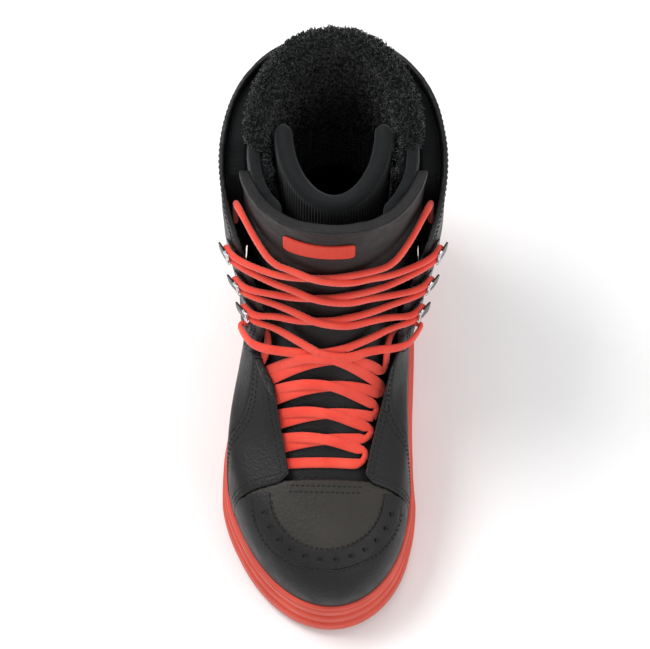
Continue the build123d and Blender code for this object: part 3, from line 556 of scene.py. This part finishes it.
# ---------------------------------------------------------------- leather panels
panels = {}
for name, nodes, voxel, rounds, material, slot in (
    ("vamp_shell", ["vamp"], 0.95, 4, VAMP_LEATHER, "vamp_leather"),
    ("toe_cap_leather", ["toe_cap"], 0.5, 3, BLACK_LEATHER, "black_leather"),
    ("toe_band_leather", ["toe_band"], 0.4, 3, BLACK_LEATHER, "black_leather"),
    ("eyestay_leather_lateral", ["eyestay_lateral"], 0.8, 5, BLACK_LEATHER, "black_leather"),
    ("eyestay_leather_medial", ["eyestay_medial"], 0.8, 5, BLACK_LEATHER, "black_leather"),
    ("side_leather_lateral", ["side_panel_lateral"], 0.9, 5, BLACK_LEATHER, "black_leather"),
    ("side_leather_medial", ["side_panel_medial"], 0.9, 5, BLACK_LEATHER, "black_leather"),
    ("counter_leather", ["heel_counter"], 0.95, 5, BLACK_LEATHER, "black_leather"),
    ("heel_strip_leather", ["heel_strip"], 0.45, 3, BLACK_LEATHER, "black_leather"),
):
    panels[name] = dress(moulded(name, nodes, voxel, rounds), material, "lower")

for side_name in SIDES:
    name = f"wing_leather_{side_name}"
    wing = moulded(name, [f"cuff_{side_name}", f"cuff_hem_{side_name}"], 0.9, 5, swell=0.15)
    push(wing, 0.25 * waves(vertices(wing), 46, 1.0))
    panels[name] = dress(wing, BLACK_LEATHER, blended=True)
panels["backstay_leather"] = dress(moulded("backstay_leather", ["backstay"], 0.45, 3),
                                   BLACK_LEATHER, "cuff")
gusset = moulded("gusset_leather", ["ankle_gusset"], 0.9, 5)
push(gusset, 0.2 * waves(vertices(gusset), 18, 2.0))
dress(gusset, GUSSET_LEATHER, blended=True)

# ---------------------------------------------------------------- tongue
tongue = moulded("tongue_leather", ["tongue_lower", "tongue_ankle", "tongue_upper"], 1.0, 5, 0.15)
push(tongue, 0.3 * waves(vertices(tongue), 38, 3.0))
panels["tongue_leather"] = dress(tongue, TONGUE_LEATHER, blended=True)
rim = moulded("tongue_rim_roll", ["tongue_rim"], 0.6, 14, swell=0.5)
push(rim, 0.25 * waves(vertices(rim), 22, 4.0))
panels["tongue_rim_roll"] = dress(rim, TONGUE_LEATHER, "cuff")

# ---------------------------------------------------------------- liner
liner = moulded("liner_shell", ["liner_foot", "liner_ankle", "liner_cuff"], 1.8, 5, 0.2)
push(liner, 0.5 * waves(vertices(liner), 44, 5.0))
dress(liner, LINER_KNIT, blended=True)
collar = moulded("collar_pad", ["collar_padding"], 1.2, 10)
push(collar, 0.4 * waves(vertices(collar), 34, 6.0))
dress(collar, LINER_KNIT, "cuff")
footbed = moulded("footbed_cloth", ["footbed"], 1.0, 4)
dress(footbed, LINING, "lower")

# Ovals round the shin: height, middle y, half-width, half-length
LEG_OVALS = ((115, 52, 27, 56), (165, 54, 30, 51), (215, 56, 32, 48), (290, 58, 32.5, 47))
LINER_TONGUE_TOP = ((-200, 264), (0, 266), (60, 276))
LINER_TONGUE_BACK = 61.0
LINER_TONGUE_THICK = 10.0
RIB_PITCH, RIB_HEIGHT = 2.5, 0.42


def tongue_point(turn, z, inward):
    """A point of the liner tongue's U, turn running from -1 to 1 round the shin."""
    middle, across, along = (np.interp(z, HEIGHT_COLUMN, column) for column in OVAL_COLUMNS)
    end = math.acos(max(-1.0, (middle - LINER_TONGUE_BACK) / along))
    angle = turn * end
    x, y = across * math.sin(angle), -along * math.cos(angle)
    nx, ny = math.sin(angle) / across, -math.cos(angle) / along
    size = math.hypot(nx, ny)
    return 0.5 + x - inward * nx / size, middle + y - inward * ny / size


HEIGHT_COLUMN = [oval[0] for oval in LEG_OVALS]
OVAL_COLUMNS = [[oval[k] for oval in LEG_OVALS] for k in (1, 2, 3)]


def liner_tongue_mesh(bottom, turns=300, side_rows=44, cap_rows=9):
    """A padded U with a rolled top edge, rounded tips and a ribbed outer face."""
    half = LINER_TONGUE_THICK / 2
    arc = 76.0
    points = []
    for i in range(turns + 1):
        turn = -1 + 2 * i / turns
        from_tip = (1 - abs(turn)) * arc
        fat = math.sqrt(max(0.0, 1 - (1 - min(1.0, from_tip / (half * 1.25))) ** 2))
        fat = max(fat, 0.02)
        y_here = tongue_point(turn, 250, half)[1]
        top = np.interp(y_here, *zip(*LINER_TONGUE_TOP)) - 7 * (1 - fat)
        loop = []
        for k in range(side_rows):
            loop.append((1.0, bottom + half + (top - bottom - 2 * half) * k / (side_rows - 1)))
        for k in range(1, cap_rows):
            angle = math.pi * k / cap_rows
            loop.append((math.cos(angle), top - half + half * math.sin(angle) * 1.15))
        for k in range(side_rows):
            loop.append((-1.0, top - half - (top - bottom - 2 * half) * k / (side_rows - 1)))
        for k in range(1, cap_rows):
            angle = math.pi * k / cap_rows
            loop.append((-math.cos(angle), bottom + half - half * math.sin(angle)))
        rib = math.cos(2 * math.pi * turn * arc / RIB_PITCH)
        for out, z in loop:
            bulge = 0.9 * math.sin((z - bottom) / 31) * math.cos(3 * turn + z / 40)
            ribbed = RIB_HEIGHT * rib * max(0.0, out) ** 2 * min(1.0, max(0.0, (top - 4 - z) / 4))
            inward = half - out * half * fat - ribbed - bulge * 0.5
            x, y = tongue_point(turn, z, inward)
            points.append((x, y, z))
    size = 2 * side_rows + 2 * (cap_rows - 1)
    faces = [(i * size + k, (i + 1) * size + k,
              (i + 1) * size + (k + 1) % size, i * size + (k + 1) % size)
             for i in range(turns) for k in range(size)]
    faces.append(tuple(range(size)))
    faces.append(tuple(turns * size + k for k in reversed(range(size))))
    return points, faces


tongue_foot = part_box("liner_tongue")[0].z / MM + 0.4
inner_tongue = make_object("liner_tongue_knit", *liner_tongue_mesh(tongue_foot))
outward_faces(inner_tongue)
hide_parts("liner_tongue")
dress(inner_tongue, KNIT_RIB, "cuff")

fleece = moulded("fleece_base", ["fleece_lining"], 1.1, 6, 0.4)
push(fleece, 0.8 * waves(vertices(fleece), 9, 8.0) + 0.5 * waves(vertices(fleece), 4.5, 9.0))
dress(fleece, FLEECE, "cuff")

# ---------------------------------------------------------------- fleece
LINER_TOP_LINE = spline([(-20, 262), (30, 268), (70, 278), (105, 289), (150, 291)], 2.0)


ROLL_Z, ROLL_DEPTH, ROLL_FRONT = 285, 15.0, 46
ROLL_HALF_WIDE, ROLL_HALF_HIGH = 6.4, 6.5


def fleece_roll_mesh():
    """A soft roll of pile over the liner's rim, round the back from one side to the other."""
    outline = np.array(ring(ROLL_Z, ROLL_DEPTH, 150))
    count = len(outline)
    order = [i % count for i in range(count // 2, count // 2 + count + 1)]
    line = outline[order]
    line = line[line[:, 1] > ROLL_FRONT]
    line = resampled(line, 1.5)
    t = directions(line)
    out = np.stack([t[:, 1], -t[:, 0]], axis=1)
    if np.dot(out[len(out) // 2], [0, 1]) < 0:
        out = -out
    points, around = [], 26
    for i, (x, y, _) in enumerate(line):
        share = min(1.0, min(i, len(line) - 1 - i) / 10)
        fat = math.sqrt(max(0.03, 1 - (1 - share) ** 2))
        top = float(np.interp(y, LINER_TOP_LINE[:, 0], LINER_TOP_LINE[:, 1]))
        for k in range(around):
            angle = 2 * math.pi * k / around
            across = ROLL_HALF_WIDE * math.cos(angle) * fat
            up = ROLL_HALF_HIGH * math.sin(angle) * fat
            points.append((x + out[i][0] * (across - 1.2), y + out[i][1] * (across - 1.2),
                           top - 1.5 + up))
    return points, closed_tube_faces(len(line), around)


roll = make_object("fleece_roll", *fleece_roll_mesh())
outward_faces(roll)
push(roll, 0.9 * waves(vertices(roll), 13, 8.5) + 0.5 * waves(vertices(roll), 6, 9.5))
dress(roll, FLEECE, "cuff")


def tuft_mesh(obj, count, keep, length=(2.6, 4.6)):
    """Short curled locks of pile standing on the faces of obj that keep allows."""
    co, normal = vertices(obj), vertex_normals(obj)
    allowed = np.flatnonzero(keep(co, normal))
    picked = random.choice(allowed, size=count, replace=len(allowed) < count)
    points, faces = [], []
    for i in picked:
        base = co[i] + random.normal(0, 0.35, 3)
        n = normal[i]
        lean = random.normal(0, 1, 3)
        lean -= n * np.dot(lean, n)
        lean /= max(1e-6, np.linalg.norm(lean))
        side = np.cross(n, lean)
        long = random.uniform(*length)
        curl = random.uniform(-1.2, 1.2)
        lock = []
        for share, wide in ((0.0, 0.55), (0.35, 0.6), (0.7, 0.42)):
            bend = share ** 1.4
            middle = (base + n * long * (share * 0.75 - 0.1) + lean * long * 0.55 * bend
                      + side * curl * bend * 1.4)
            for k in range(3):
                angle = 2 * math.pi * k / 3 + share * curl
                lock.append(middle + wide * (side * math.cos(angle)
                                             + (lean * 0.8 - n * 0.4 * bend) * math.sin(angle)))
        lock.append(base + n * long * 0.62 + lean * long * 0.75 + side * curl * 2.2)
        tip = [(6, 7, 9), (7, 8, 9), (8, 6, 9)]
        join_groups(points, faces, lock, tube_faces(3, 3) + tip)
    return points, faces


leg_middle = np.array([0.5, 62.0])


def pile_side(co, normal):
    """The inner, upper face of the fleece lining."""
    inward = normal[:, :2] * (leg_middle - co[:, :2])
    return (inward.sum(axis=1) > 0) & (co[:, 2] > 185)


pile = make_object("fleece_pile", *tuft_mesh(fleece, 8000, pile_side))
dress(pile, FLEECE, "cuff")
rim_pile = make_object("fleece_rim_pile",
                       *tuft_mesh(roll, 6500, lambda co, n: co[:, 2] > 0, (2.2, 3.8)))
dress(rim_pile, FLEECE, "cuff")

# The smooth lining of the heel pocket, deep inside
spots = []
ROWS_ACROSS, ROWS_UP = 36, 30
POCKET_X, POCKET_Z, POCKET_DEPTH = (0.5, 23), (92, 24), 17.3  # middle and half-size, then depth
for i in range(ROWS_UP + 1):
    for j in range(ROWS_ACROSS + 1):
        u, v = 2 * j / ROWS_ACROSS - 1, 2 * i / ROWS_UP - 1
        u, v = u * math.sqrt(1 - v * v / 2), v * math.sqrt(1 - u * u / 2)
        spots.append(on_end(POCKET_X[0] + POCKET_X[1] * u, POCKET_Z[0] + POCKET_Z[1] * v,
                            POCKET_DEPTH, BACK))
heel_lining = make_object("heel_pocket_lining", spots,
                          [(i * (ROWS_ACROSS + 1) + j, i * (ROWS_ACROSS + 1) + j + 1,
                            (i + 1) * (ROWS_ACROSS + 1) + j + 1, (i + 1) * (ROWS_ACROSS + 1) + j)
                           for i in range(ROWS_UP) for j in range(ROWS_ACROSS)])
thick = heel_lining.modifiers.new("thick", "SOLIDIFY")
thick.thickness, thick.offset = 0.8 * MM, 0
finished(heel_lining)
dress(heel_lining, LINING, blended=True)

# ---------------------------------------------------------------- lace
LACE_DEPTH, LACE_UNDER, LACE_OVER = 4.8, 4.9, 2.1
LACE_STEP = 3.4
BAR_Y = -68.5
LACE_ROWS = ((-57.0, 29.5), (-44.0, 33.0), (-31.0, 36.5), (-20.0, 39.0))
INSTEP_ROWS = 2
WING_HOLE = (5.0, 121.0)
LACE_WING_IN, LACE_WING_OUT = 2.2, -8.5
HOOK_SPAN = 52.0
STRAND_SAG = 6.5  # how far a strand dips in the middle of the shin
STRAND_LIFT = {22: 1.6, 34: 4.6}  # the strands run straight from the tongue out to the hooks
TAIL_LEAD, TAIL_TOP, TAIL_TURN, TAIL_END = (9, 229), (24, 239), (34, 227), (38, 196)
HOOK_SPOTS = ((4, 148), (10, 174), (17, 201))
HOOK_LIFT, HOOK_SHEET, HOOK_THROAT = 0.5, 1.0, 4.0
HOOK_LONG, HOOK_WIDE, HOOK_NECK, HOOK_NECK_X = 12.0, 10.0, 3.0, 1.5
CUFF_OUT = -4.6
LACE_R = 1.25
LACE_WIDE, LACE_THICK = 6.3, 2.3
SHIN_WIDE, SHIN_THICK = 5.6, 3.1  # pulled tight round the hooks, the lace is rounder


def hook_frame(side, y, z):
    """Where a hook sits: its origin, towards the throat, along the edge, and straight out."""
    base = on_side(side, y, z, CUFF_OUT)
    back = on_side(side, y + 1, z, CUFF_OUT) - on_side(side, y - 1, z, CUFF_OUT)
    up = on_side(side, y + 0.2, z + 1, CUFF_OUT) - on_side(side, y - 0.2, z - 1, CUFF_OUT)
    out = (back.cross(up) * side).normalized()
    ahead = (out.cross(up) * side).normalized()
    return base + out * HOOK_LIFT, ahead, out.cross(ahead), out


def row_points(row, side, over):
    y, half_span = row
    centre = centre_x(y, 90) - 0.5
    middle = LACE_OVER if over else LACE_UNDER
    spread = 0.3 if over else 0.36
    half = ((1, LACE_DEPTH), (0.76, LACE_DEPTH), (spread, middle))
    return [on_top(centre + side * across * half_span, y - across * LACE_STEP, depth)
            for across, depth in half + ((0, middle),) + tuple((-x, d) for x, d in half[::-1])]


def shin_points(side, low_z, high_z, over):
    points = []
    for across in (34, 22, 11, 0, -11, -22, -34):
        depth = LACE_OVER if over and abs(across) <= 11 else LACE_UNDER
        depth -= STRAND_LIFT.get(abs(across), 0.0)
        z = low_z + (high_z - low_z) * (HOOK_SPAN - across) / (2 * HOOK_SPAN)
        z -= STRAND_SAG * (1 - (across / HOOK_SPAN) ** 2)
        points.append(on_end(side * across, z, depth, FRONT))
    return points


def hook_points(side, spot):
    origin, ahead_dir, along, out = hook_frame(side, *spot)
    lift = HOOK_SHEET + HOOK_THROAT / 2
    turn = HOOK_NECK_X - HOOK_NECK / 2 - LACE_R - 1.0
    lower = side * (HOOK_NECK / 2 + LACE_R + 0.3)
    ahead = HOOK_LONG / 2 + 3
    corners = ((ahead, lower), (turn, lower), (turn, -lower), (ahead, -lower))
    return [origin + ahead_dir * x + along * y + out * lift for x, y in corners]


def lace_half(side, first_over):
    over, here = first_over, side
    instep, ankle, shin = [], [], []
    for number, row in enumerate(LACE_ROWS):
        (instep if number < INSTEP_ROWS else ankle).extend(row_points(row, here, over))
        here, over = -here, not over
    y, z = WING_HOLE
    ankle += [
        on_side(here, y - 9, z - 1, LACE_WING_IN + 2),
        on_side(here, y, z - 1, LACE_WING_IN),
        on_side(here, y, z + 1, LACE_WING_OUT),
        on_side(here, y - 8, z + 2, LACE_WING_OUT),
        on_side(here, y - 17, z + 3, LACE_WING_OUT + 1),
    ]
    low_z = z + 2
    for number, spot in enumerate(HOOK_SPOTS):
        strand = shin_points(here, low_z, spot[1] - 2, over)
        if number == 0:
            ankle += strand[1:5]
            shin = [strand[4] + (strand[3] - strand[4]) * 0.3]
            strand = strand[5:]
        here, over = -here, not over
        shin += strand + hook_points(here, spot)
        low_z = spot[1] + 2
    shin += shin_points(here, low_z, TAIL_TOP[1] - 12, over)
    here = -here
    shin += [on_side(here, y, z, LACE_WING_IN)
             for y, z in (TAIL_LEAD, TAIL_TOP, TAIL_TURN, TAIL_END)]
    return instep, ankle, shin


def nurbs_line(route):
    """The smooth line of a route in millimetres, from a NURBS spline with its points as controls."""
    curve = bpy.data.curves.new("route", "CURVE")
    curve.dimensions = "3D"
    curve.resolution_u = 14
    line = curve.splines.new("NURBS")
    line.points.add(len(route) - 1)
    for point, place in zip(line.points, route):
        point.co = (*(c * MM for c in place), 1.0)
    line.order_u = 3
    line.use_endpoint_u = True
    holder = placed("route", curve)
    mesh = bpy.data.meshes.new_from_object(holder)
    points = np.array([tuple(v.co) for v in mesh.vertices]) / MM
    bpy.data.objects.remove(holder)
    return points


form_rings = [ring(z, 0.0, 70) for z in np.arange(2, 304, 3.0)]
form_points = [p for one in form_rings for p in one]
ring_size = len(form_rings[0])
form_tree = BVHTree.FromPolygons([Vector(p) for p in form_points],
                                 tube_faces(len(form_rings), ring_size))


def outward_at(point):
    place, normal, _, _ = form_tree.find_nearest(Vector(point))
    middle = Vector((centre_x(point[1], point[2]), min(60.0, max(-60.0, point[1])), place.z - 25))
    return normal if normal.dot(place - middle) > 0 else -normal


def blurred(values, reach):
    """Values along a line, averaged over reach neighbours each side."""
    kernel = np.hanning(2 * reach + 3)
    kernel /= kernel.sum()
    padded = np.pad(values, ((reach + 1, reach + 1), (0, 0)), mode="edge")
    return np.stack([np.convolve(padded[:, k], kernel, mode="valid")
                     for k in range(values.shape[1])], axis=1)


def ribbon_mesh(line, full_wide, full_thick, step=0.75, around=22):
    """A flat oval lace along a line, woven in a herringbone, flat side to the boot."""
    line = resampled(line, step)
    t = directions(line)
    n = np.array([tuple(outward_at(p)) for p in line])
    n -= t * (n * t).sum(axis=1)[:, None]
    n = blurred(n, int(7 / step))
    n -= t * (n * t).sum(axis=1)[:, None]
    n /= np.linalg.norm(n, axis=1)[:, None]
    bend = np.linalg.norm(np.gradient(t, axis=0), axis=1) / step
    tight = blurred(np.clip(bend * 9 - 0.6, 0, 1)[:, None], int(3 / step))[:, 0]
    points = []
    for i, place in enumerate(line):
        across = np.cross(t[i], n[i])
        wide = full_wide / 2 * (1 - 0.42 * tight[i])
        thick = full_thick / 2 * (1 + 0.25 * tight[i])
        run = i * step
        for k in range(around):
            angle = 2 * math.pi * k / around
            c, s = math.cos(angle), math.sin(angle)
            x = math.copysign(abs(c) ** 0.75, c)
            y = math.copysign(abs(s) ** 0.8, s)
            over = math.cos(math.pi * (run / 1.5 + 1.9 * abs(x)))
            weave = 0.10 * over * (1 - 0.5 * abs(x))
            puff = thick * (1 + 0.12 * (1 - x * x))
            points.append(place + across * (wide * x)
                          + n[i] * (puff * y + weave * math.copysign(1, s)))
    return points, closed_tube_faces(len(line), around)


halves = [lace_half(-1, False), lace_half(1, True)]
bar = [on_top(centre_x(BAR_Y, 90) - 0.5 + x, BAR_Y, depth)
       for x, depth in ((-26, LACE_DEPTH), (-10, LACE_UNDER), (10, LACE_UNDER), (26, LACE_DEPTH))]
routes = {
    "lace_instep": [halves[0][0][::-1] + bar + halves[1][0]],
    "lace_ankle": [[instep[-1]] + ankle for instep, ankle, _ in halves],
    "lace_shin": [shin for _, _, shin in halves],
}
for node, runs in routes.items():
    points, faces = [], []
    section = (SHIN_WIDE, SHIN_THICK) if node == "lace_shin" else (LACE_WIDE, LACE_THICK)
    for run in runs:
        join_groups(points, faces, *ribbon_mesh(nurbs_line(run), *section))
    cord = make_object(node + "_cord", points, faces)
    outward_faces(cord)
    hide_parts(node)
    dress(cord, LACE_CLOTH, "lower" if node == "lace_instep" else "cuff",
          blended=node == "lace_ankle")

# ---------------------------------------------------------------- hooks
def skin_rows(bm, rows):
    """Faces between rows of vertices, and over the first and the last row."""
    count = len(rows[0])
    for low, high in zip(rows, rows[1:]):
        for k in range(count):
            after = (k + 1) % count
            bm.faces.new((low[k], low[after], high[after], high[k]))
    bm.faces.new(rows[0][::-1])
    bm.faces.new(rows[-1])


def plate(bm, frame_of, x_range, y_range, z_range, corner, bevel):
    """A sheet-metal plate with rounded corners and edges, in a hook's own frame."""
    origin, ahead, along, out = frame_of
    (x0, x1), (y0, y1), (z0, z1) = x_range, y_range, z_range
    outline = []
    for cx, cy, start in ((x1 - corner, y1 - corner, 0), (x0 + corner, y1 - corner, 90),
                          (x0 + corner, y0 + corner, 180), (x1 - corner, y0 + corner, 270)):
        for k in range(7):
            angle = math.radians(start + 15 * k)
            outline.append((cx + corner * math.cos(angle), cy + corner * math.sin(angle)))
    rows = []
    middle_x, middle_y = (x0 + x1) / 2, (y0 + y1) / 2
    for z, inset in ((z0, bevel), (z0 + bevel * 0.3, bevel * 0.3), (z0 + bevel, 0.0),
                     (z1 - bevel, 0.0), (z1 - bevel * 0.3, bevel * 0.3), (z1, bevel)):
        row = []
        for x, y in outline:
            shrink_x = 1 - inset / max(0.5, (x1 - x0) / 2)
            shrink_y = 1 - inset / max(0.5, (y1 - y0) / 2)
            px = middle_x + (x - middle_x) * shrink_x
            py = middle_y + (y - middle_y) * shrink_y
            row.append(bm.verts.new((origin + ahead * px + along * py + out * z) * MM))
        rows.append(row)
    skin_rows(bm, rows)


def mesh_piece(name, bm):
    bmesh.ops.recalc_face_normals(bm, faces=bm.faces)
    mesh = bpy.data.meshes.new(name)
    bm.to_mesh(mesh)
    bm.free()
    shade_smooth(mesh)
    return placed(name, mesh)


def turned(bm, frame_of, x, y, profile, around=20):
    """A turned part, from (radius, height) pairs, standing on a hook's frame at x and y."""
    origin, ahead, along, out = frame_of
    rows = []
    for radius, height in profile:
        rows.append([bm.verts.new((origin + ahead * (x + radius * math.cos(a))
                                   + along * (y + radius * math.sin(a)) + out * height) * MM)
                     for a in (2 * math.pi * k / around for k in range(around))])
    skin_rows(bm, rows)


top_low = HOOK_SHEET + HOOK_THROAT
for side_name, side in SIDES.items():
    painted, tips = bmesh.new(), bmesh.new()
    for spot in HOOK_SPOTS:
        where = hook_frame(side, *spot)
        half_long, half_wide = HOOK_LONG / 2, HOOK_WIDE / 2
        plate(painted, where, (-half_long, half_long), (-half_wide, half_wide),
              (0, HOOK_SHEET), 2.2, 0.3)
        plate(painted, where, (HOOK_NECK_X - 1.5, HOOK_NECK_X + 1.5), (-1.5, 1.5),
              (HOOK_SHEET - 0.2, top_low + 0.2), 0.7, 0.1)
        plate(painted, where, (-half_long, half_long - 1.4), (-half_wide, half_wide),
              (top_low, top_low + HOOK_SHEET), 2.2, 0.3)
        for end in (-1, 1):
            y_range = sorted((end * (half_wide - 2.6), end * (half_wide + 0.15)))
            plate(tips, where, (half_long - 4.2, half_long), y_range,
                  (top_low - 0.4, top_low + HOOK_SHEET + 0.4), 1.1, 0.35)
        plate(tips, where, (half_long - 1.9, half_long - 0.3), (-half_wide + 1.5, half_wide - 1.5),
              (top_low - 0.3, top_low + HOOK_SHEET + 0.3), 0.6, 0.3)
    hooks = mesh_piece(f"hooks_{side_name}", painted)
    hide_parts(f"lace_hooks_{side_name}")
    dress(hooks, HOOK_PAINT, "cuff")
    dress(mesh_piece(f"hook_tips_{side_name}", tips), CHROME, "cuff")

rivets = bmesh.new()
for side in SIDES.values():
    for spot in HOOK_SPOTS:
        turned(rivets, hook_frame(side, *spot), -2.5, 0.0,
               ((1.5, -2.3), (1.7, 0.0), (1.8, 0.9), (1.8, 1.05), (1.6, 1.35), (1.1, 1.55),
                (0.6, 1.45), (0.3, 1.35)))
rivet_piece = mesh_piece("rivet_heads", rivets)
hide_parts("hook_rivets")
dress(rivet_piece, CHROME, "cuff")

# ---------------------------------------------------------------- stitching
trees = {name: surface_tree(obj) for name, obj in panels.items()}


def sew(name, rows, body=None, blended=False, pitch=3.3):
    """Stitch rows, each (surface, line, view), made into one piece."""
    points, faces = [], []
    for surface, line, view in rows:
        join_groups(points, faces, *stitch_mesh(drop_on(trees[surface], line, view), pitch,
                                                pitch * 0.74))
    if points:
        thread = make_object(name, points, faces)
        outward_faces(thread)
        dress(thread, THREAD, body, blended)


TOE_BAND_CENTRE = (-3.0, -87.0)


def ellipse_arc(radii, start, end):
    angles = np.radians(np.arange(start, end, 0.8))
    return np.stack([TOE_BAND_CENTRE[0] + radii[0] * np.cos(angles),
                     TOE_BAND_CENTRE[1] + radii[1] * np.sin(angles)], axis=1)


def double_row(surface, points, view, offsets):
    """Stitch rows on a surface, beside the edge through points."""
    edge = spline(points, 0.8)
    return [(surface, offset_line(edge, offset), view) for offset in offsets]


QUARTER_EDGES = {
    "lateral": [(-60, -87), (-46, -83), (-31, -80.5), (-25.5, -76), (-28, -62), (-32, -42),
                (-36, -16), (-44, 10)],
    "medial": [(60, -90), (46, -87), (34, -83), (24, -80.5), (19.5, -76), (22.5, -62),
               (27.5, -42), (35, -16), (44, 10)],
}
EYESTAY_SEAM = [(6, 130), (-10, 106), (-46, 79), (-63, 58), (-71, 38)]
COUNTER_EDGE = [(38, 40), (54, 74), (64, 98), (67, 114)]
CUFF_EDGE = [(-10, 105), (-3, 146), (3, 172), (9, 202), (19, 226), (36, 241), (62, 249),
             (100, 255), (124, 257)]
lower_rows = [
    ("toe_cap_leather", ellipse_arc((45.4, 44.4), 188, 352), "top"),
    ("vamp_shell", ellipse_arc((32.8, 31.8), 186, 354), "top"),
    ("vamp_shell", spline([(-25, -82.5), (-12, -83.2), (4, -83.4), (18, -83)], 0.8), "top"),
    ("vamp_shell", spline([(-26, -86.0), (-12, -86.7), (4, -86.9), (19, -86.5)], 0.8), "top"),
]
for side_name, side in SIDES.items():
    eyestay = f"eyestay_leather_{side_name}"
    lower_rows += double_row(eyestay, QUARTER_EDGES[side_name], "top", (-side * 2.2, -side * 4.9))
    lower_rows += double_row(eyestay, EYESTAY_SEAM, side, (-1.8, -4.2))
    lower_rows += double_row("counter_leather", COUNTER_EDGE, side, (-1.8, -4.2))
sew("thread_lower", lower_rows, "lower", pitch=3.1)
wing_rows = []
for side_name, side in SIDES.items():
    wing_rows += double_row(f"wing_leather_{side_name}", CUFF_EDGE, side, (-3.2, -6.0))
sew("thread_wings", wing_rows, blended=True)

# Raised rims for the toe band's perforations. Known fault: each should stand round its hole,
# but stands RIM_ASIDE to +x of it, where its ray met the leather
PERFORATIONS, PERFORATION_OVAL = 12, (39.0, 38.0)
RIM_ASIDE = 1.3  # the ray must miss the hole to meet leather
rims_mesh = bmesh.new()
for hole in range(PERFORATIONS):
    angle = math.radians(188 + (hole + 0.5) * 164 / PERFORATIONS)
    x = TOE_BAND_CENTRE[0] + PERFORATION_OVAL[0] * math.cos(angle)
    y = TOE_BAND_CENTRE[1] + PERFORATION_OVAL[1] * math.sin(angle)
    above = Vector((x + RIM_ASIDE, y, 200))
    place, normal, _, _ = trees["toe_band_leather"].ray_cast(above, Vector((0, 0, -1)))
    if place is None:
        continue
    up = normal if normal.z > 0 else -normal
    ahead = Vector((1, 0, 0)) - up * up.x
    ahead.normalize()
    turned(rims_mesh, (place, ahead, up.cross(ahead), up), 0, 0,
           ((1.45, -0.5), (1.5, 0.1), (1.35, 0.38), (1.1, 0.42), (0.9, 0.25), (0.8, -0.4)), 18)
rims = mesh_piece("perforation_rims", rims_mesh)
dress(rims, BLACK_LEATHER, "lower")

# ---------------------------------------------------------------- tongue patch
patch = moulded("tongue_patch_cloth", ["tongue_patch"], 0.4, 3, 0.1)
dress(patch, PATCH_CLOTH, "cuff")

# ---------------------------------------------------------------- camera, light, floor
target = Vector((-0.0042, 0.0053, 0.118))
tilt = math.radians(67)
distance = 1.85
camera_data = bpy.data.cameras.new("camera")
camera_data.lens = 173
camera_data.sensor_width = 36
camera = placed("camera", camera_data)
camera.location = target + distance * Vector((0, -math.cos(tilt), math.sin(tilt)))
camera.rotation_euler = (target - camera.location).to_track_quat("-Z", "Y").to_euler()
bpy.context.scene.camera = camera

FLOOR_HALF, FLOOR_Z = 4000, -0.2
floor = make_object("floor", [(x * FLOOR_HALF, y * FLOOR_HALF, FLOOR_Z)
                              for x, y in ((-1, -1), (1, -1), (1, 1), (-1, 1))], [(0, 1, 2, 3)])
floor.data.materials.append(new_material("floor", (srgb(244, 244, 244), srgb(246, 246, 246)),
                                         (0.9, 0.95), [], Specular_IOR_Level=0.1))


def area_light(name, place, aim, power, width):
    data = bpy.data.lights.new(name, "AREA")
    data.energy, data.size = power, width
    lamp = placed(name, data)
    lamp.location = place
    lamp.rotation_euler = (Vector(aim) - Vector(place)).to_track_quat("-Z", "Y").to_euler()


area_light("key", (-0.7, 0.25, 1.5), (0, 0, 0.1), 15, 0.6)
area_light("fill", (0.9, -0.9, 1.2), (0, 0, 0.1), 5, 0.9)
area_light("back", (0.3, 1.3, 1.1), (0, 0.1, 0.15), 4, 0.8)
world = bpy.data.worlds.new("world")
world.use_nodes = True
world.node_tree.nodes["Background"].inputs["Color"].default_value = (1, 1, 1, 1)
world.node_tree.nodes["Background"].inputs["Strength"].default_value = 0.75
bpy.context.scene.world = world

bpy.context.scene.view_settings.view_transform = "Standard"
